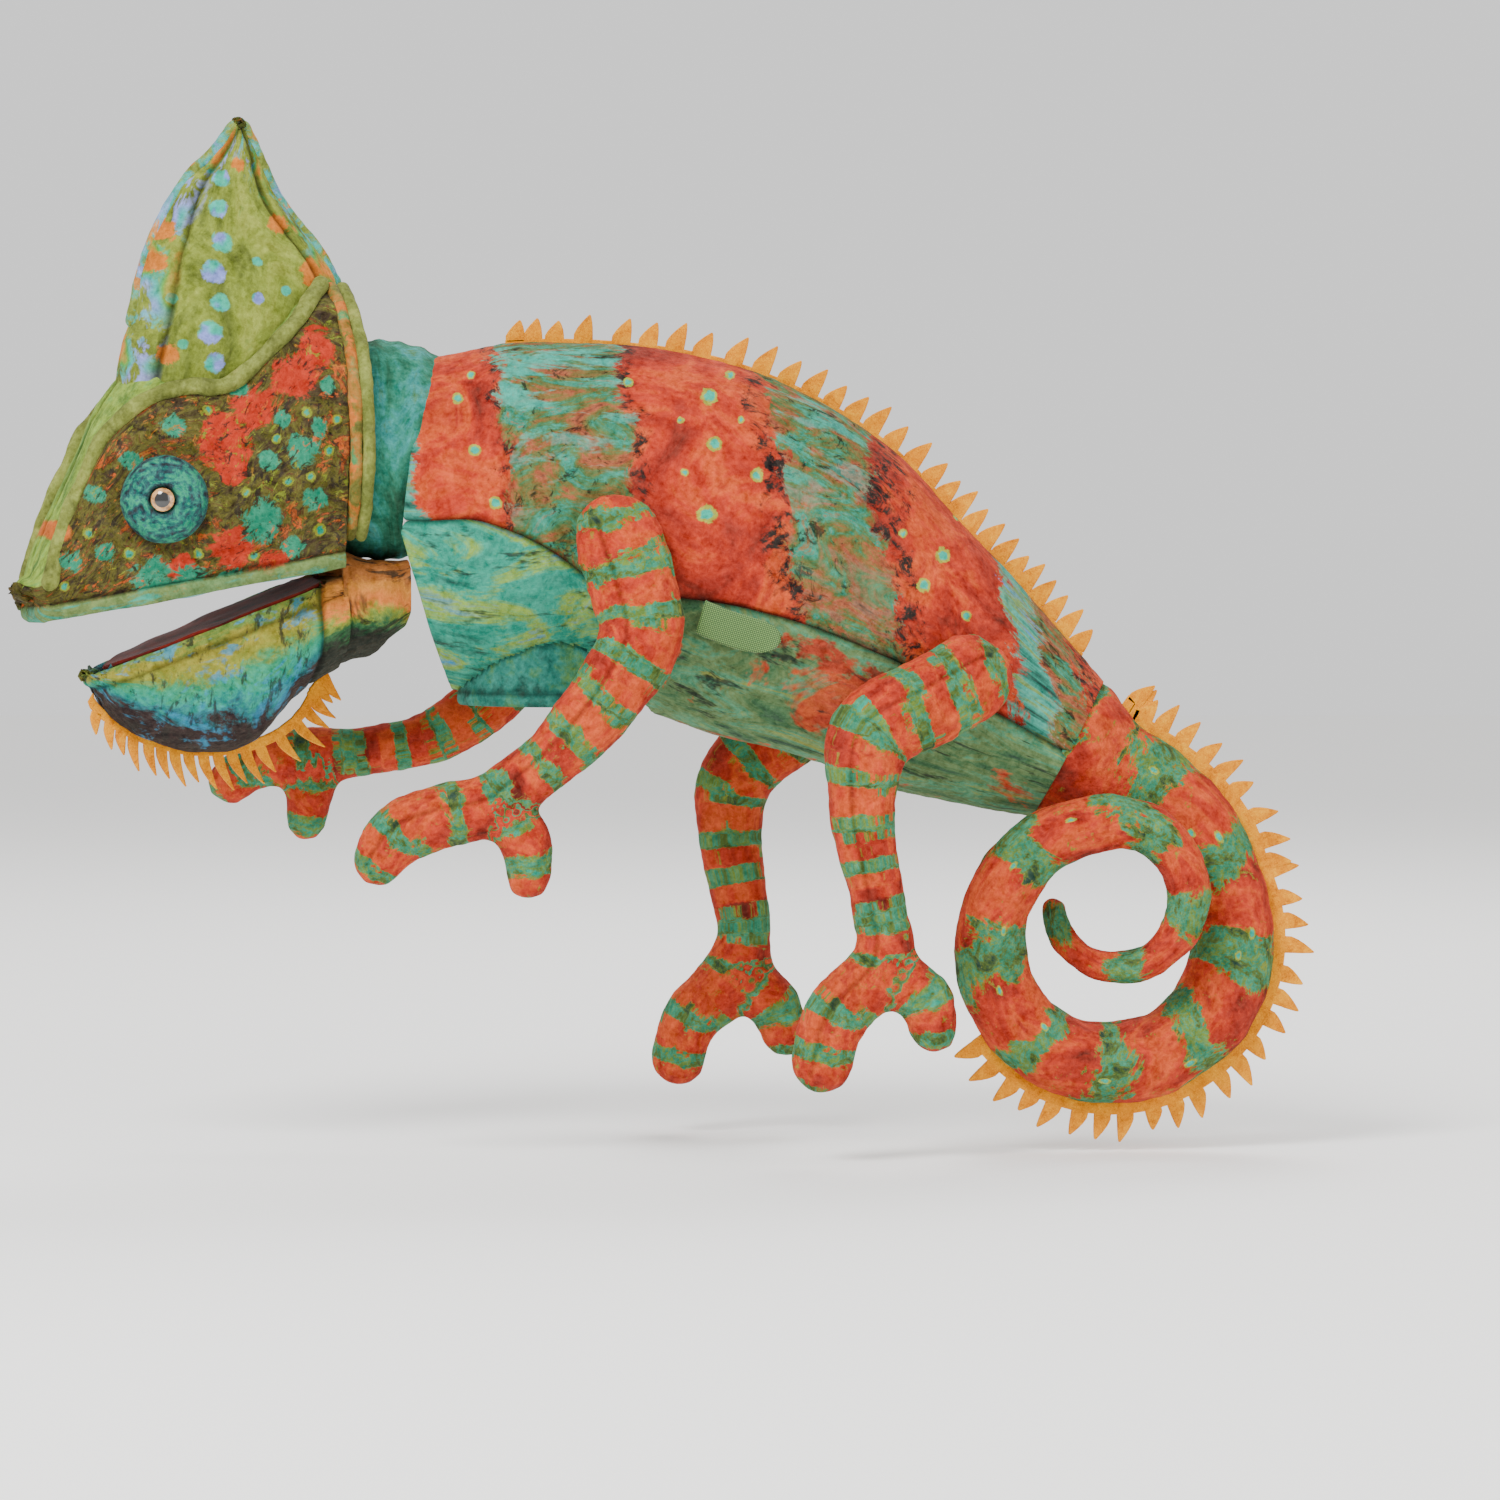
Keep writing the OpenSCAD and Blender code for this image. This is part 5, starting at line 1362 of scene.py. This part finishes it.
# ---- Hand sleeve and cuff ----
# A dark satin sleeve for the hand, from the hemmed opening under the chest up and forward to
# the neck. The hem is a turned band of plush with a line of stitches.
cuff_h, opening = 18, 25


def satin():
    """Dark satin lining: smooth threads with a soft gloss, and faint creases painted in as lighter and
    darker tone.
    """
    m, t = finish("satin lining")
    at = add(t, "TexCoord").outputs["Object"]
    # Painted light and shade: a broad lighter and darker grey stands in for faint creases.
    c = ramp(t, blotch(t, at, 14, 4.0, 0.6, 0.8), [(0.35, "#16181a"), (0.65, "#2c3034")])
    thread = blotch(t, at, 0.6, 3.0, 0.6, 0.0, (1, 1, 0.15))
    bump = add(t, "Bump", {"Height": thread, "Strength": 0.25, "Distance": 0.3 * MM})
    p = add(t, "BsdfPrincipled", {"Base Color": c, "Roughness": 0.48, "Normal": bump.outputs[0],
                                  "Sheen Weight": 0.2, "Sheen Roughness": 0.35})
    add(t, "OutputMaterial", {"Surface": p.outputs[0]})
    return m


satin_lining = satin()
sleeve_rows = smooth([[0, 0, 0, opening, opening], [0, 0, cuff_h, opening, opening],
                      [-1, 0, cuff_h + 8, opening - 1, opening - 2],
                      [neck[0] * 0.32, 0, neck[2] * 0.72, opening - 3, 22],
                      [neck[0] * 0.62, 0, neck[2] * 0.92, 22, 20],
                      [neck[0] + 14, 0, neck[2], 19, 19]], 6)
sleeve_rows = sleeve_rows[sleeve_rows[:, 0] > -27]
sleeve_rows[:, 3:5] += 0.6
sleeve_rows = sleeve_rows[6:]
rings, flow = tube(sleeve_rows, 60)
sleeve = piece(loft(rings, flow, (False, False)), "hand_sleeve_lining")
refined(sleeve, 1)
co = points(sleeve) / MM
lumps(sleeve, 0.8, 16, 101.0, co[:, 2] > cuff_h + 6)
wall = sleeve.modifiers.new("cloth", "SOLIDIFY")
wall.thickness, wall.offset = 0.9 * MM, 0
fixed(sleeve)
sleeve.data.materials.append(satin_lining)
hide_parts("hand_sleeve")
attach(sleeve, "torso")
hem = [[opening + 0.1, cuff_h - 0.3], [opening + 0.1, 3.2], [opening - 0.1, 1.0],
       [opening - 0.2, -0.8], [opening + 0.2, -2.2], [opening + 0.8, -2.6],
       [opening + 1.4, -2.1], [opening + 1.7, -0.8],
       [opening + 1.4, 0.8], [opening + 1.0, 3.2], [opening + 1.1, cuff_h - 0.3]]
rings = turned(hem, 96)
arc = np.linspace(0, 2 * np.pi * opening, 96, endpoint=False)
flow = np.stack([np.column_stack([arc, 0 * arc + r - opening, 0 * arc + h]) for r, h in hem])
bm = loft(rings, flow, (False, False))
bmesh.ops.bridge_loops(bm, edges=[e for e in bm.edges if e.is_boundary])
bmesh.ops.recalc_face_normals(bm, faces=bm.faces)
cuff = piece(bm, "sleeve_cuff_hem")
refined(cuff, 1)
mark(cuff, "seam", np.minimum(np.abs(points(cuff)[:, 2] / MM - 1.2) + 0.2, 9))
m, t = finish("plush, cuff")
at = add(t, "TexCoord").outputs["Object"]
c = ramp(t, blotch(t, at, 5, 5.0, 0.7), [(0.35, "#0c4a40"), (0.5, "#14786a"), (0.65, "#4a7a34")])
cuff.data.materials.append(pile(t, m, c))
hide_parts("sleeve_cuff")
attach(cuff, "torso")

# ---- Side label ----
# A blank woven tag, cut like a leaf and caught in the belly seam.
bm = bmesh.new()
bmesh.ops.create_grid(bm, x_segments=40, y_segments=14, size=1.0)
label_x, label_z = along(0.30), torso_h * 0.19
tilt = math.radians(-17)
for v in bm.verts:
    s, w = v.co.x, v.co.y
    reach, high = 11.0 * s, 4.6 * w * math.sqrt(max(0.0, 1 - max(0.0, s) ** 3.2)) + 0.8 * s * s
    x = label_x + reach * math.cos(tilt) - high * math.sin(tilt)
    z = label_z + reach * math.sin(tilt) + high * math.cos(tilt)
    v.co = Vector((x, -flank(x, z) - 2.4 - 0.9 * (1 - w) + 0.5 * math.sin(s * 3), z)) * MM
bmesh.ops.recalc_face_normals(bm, faces=bm.faces)
label = piece(bm, "side_label_weave")
wall = label.modifiers.new("weave", "SOLIDIFY")
wall.thickness, wall.offset = 0.5 * MM, 0
fixed(label)


def weave():
    """Woven satin tag: fine ribs of green thread, drawn at 0.5 mm so that they show."""
    m, t = finish("woven label")
    at = add(t, "TexCoord").outputs["Object"]
    across = add(t, "Mapping", {"Vector": at, "Rotation": (0, tilt, 0)}).outputs[0]
    warp, weft = (add(t, "TexWave", {"Vector": across, "Scale": wave_at_1 / 0.5,
                                     "Distortion": 0.4}, bands_direction=d).outputs["Fac"]
                  for d in "XZ")
    both = calc(t, "ADD", calc(t, "MULTIPLY", warp, 0.5), calc(t, "MULTIPLY", weft, 0.5))
    c = ramp(t, both, [(0.2, "#1c3a14"), (0.6, "#3f6a28"), (0.9, "#7a9a4c")])
    bump = add(t, "Bump", {"Height": both, "Strength": 0.5, "Distance": 0.2 * MM})
    p = add(t, "BsdfPrincipled", {"Base Color": c, "Roughness": 0.6, "Normal": bump.outputs[0],
                                  "Sheen Weight": 0.2})
    add(t, "OutputMaterial", {"Surface": p.outputs[0]})
    return m


label.data.materials.append(weave())
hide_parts("side_label")
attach(label, "torso")

# ---- Inside pieces ----
# Fibre fill, mouth boards, finger pockets and lock washers keep their plain shapes, since the
# cloth covers them. Each has the finish of the real thing.


def fibre_fill():
    """Polyester fibre: white crimped strands in loose clumps."""
    m, t = finish("polyester fibre fill")
    at = add(t, "TexCoord").outputs["Object"]
    strands = blotch(t, at, 1.5, 6.0, 0.8, 3.0)
    c = ramp(t, strands, [(0.35, "#c8c6c0"), (0.6, "#f2f0ea")])
    bump = add(t, "Bump", {"Height": strands, "Strength": 0.7, "Distance": 1.0 * MM})
    p = add(t, "BsdfPrincipled", {"Base Color": c, "Roughness": 0.95, "Normal": bump.outputs[0]})
    add(t, "OutputMaterial", {"Surface": p.outputs[0]})
    return m


def pressed_sheet():
    """Pressed plastic sheet: off-white, with a fine pressed grain."""
    m, t = finish("pressed sheet")
    at = add(t, "TexCoord").outputs["Object"]
    grain = blotch(t, at, 0.8, 3.0)
    bump = add(t, "Bump", {"Height": grain, "Strength": 0.2, "Distance": 0.1 * MM})
    c = ramp(t, blotch(t, at, 12), [(0.4, "#b8b4aa"), (0.6, "#d4d0c6")])
    p = add(t, "BsdfPrincipled", {"Base Color": c, "Roughness": 0.55, "Normal": bump.outputs[0]})
    add(t, "OutputMaterial", {"Surface": p.outputs[0]})
    return m


def nylon():
    """Moulded nylon: milky white with a satin surface."""
    m, t = finish("moulded nylon")
    at = add(t, "TexCoord").outputs["Object"]
    c = ramp(t, blotch(t, at, 3), [(0.4, "#e4e2dc"), (0.6, "#f0eee8")])
    p = add(t, "BsdfPrincipled", {"Base Color": c, "Roughness": 0.35, "IOR": 1.53})
    add(t, "OutputMaterial", {"Surface": p.outputs[0]})
    return m


for ends, look in ((("filling",), fibre_fill()), (("board",), pressed_sheet()),
                   (("pocket",), satin_lining), (("washer_left", "washer_right"), nylon())):
    for name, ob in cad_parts.items():
        if name.endswith(ends):
            ob.data.materials.clear()
            ob.data.materials.append(look)

# ---- Stage, light and camera ----
# A plain pale floor under soft light, seen from the side at about the puppet's own height.
floor_z, camera_reach = -0.1225, 2.0
bm = bmesh.new()
bmesh.ops.create_grid(bm, x_segments=1, y_segments=1, size=3.0)
for v in bm.verts:
    v.co.z = floor_z
floor = piece(bm, "floor")
m, t = finish("floor paint")
add(t, "OutputMaterial", {"Surface": add(t, "BsdfPrincipled", {
    "Base Color": linear("#fbfaf8"), "Roughness": 0.95}).outputs[0]})
floor.data.materials.append(m)
world = bpy.data.worlds.new("studio")
bpy.context.scene.world = world
world.use_nodes = True
world.node_tree.nodes["Background"].inputs[0].default_value = (1, 1, 1, 1)
world.node_tree.nodes["Background"].inputs[1].default_value = 1.05
aim = Vector((0.0524, 0, -0.0149))
for name, at, size, power in (("key light", (-0.5, -0.9, 1.0), 0.5, 23),
                              ("fill light", (0.9, -0.9, 0.3), 0.8, 6),
                              ("rim light", (0.2, 0.9, 0.9), 0.6, 9)):
    light = bpy.data.lights.new(name, "AREA")
    light.size, light.energy = size, power
    lamp = bpy.data.objects.new(name, light)
    bpy.context.scene.collection.objects.link(lamp)
    lamp.location = at
    lamp.rotation_euler = (aim - Vector(at)).to_track_quat("-Z", "Y").to_euler()
camera_data = bpy.data.cameras.new("camera")
camera_data.lens, camera_data.sensor_width = 178, 36
camera = bpy.data.objects.new("camera", camera_data)
bpy.context.scene.collection.objects.link(camera)
height = math.radians(2.5)
camera.location = aim + Vector((0, -math.cos(height), math.sin(height))) * camera_reach
camera.rotation_euler = (aim - camera.location).to_track_quat("-Z", "Y").to_euler()
bpy.context.scene.camera = camera
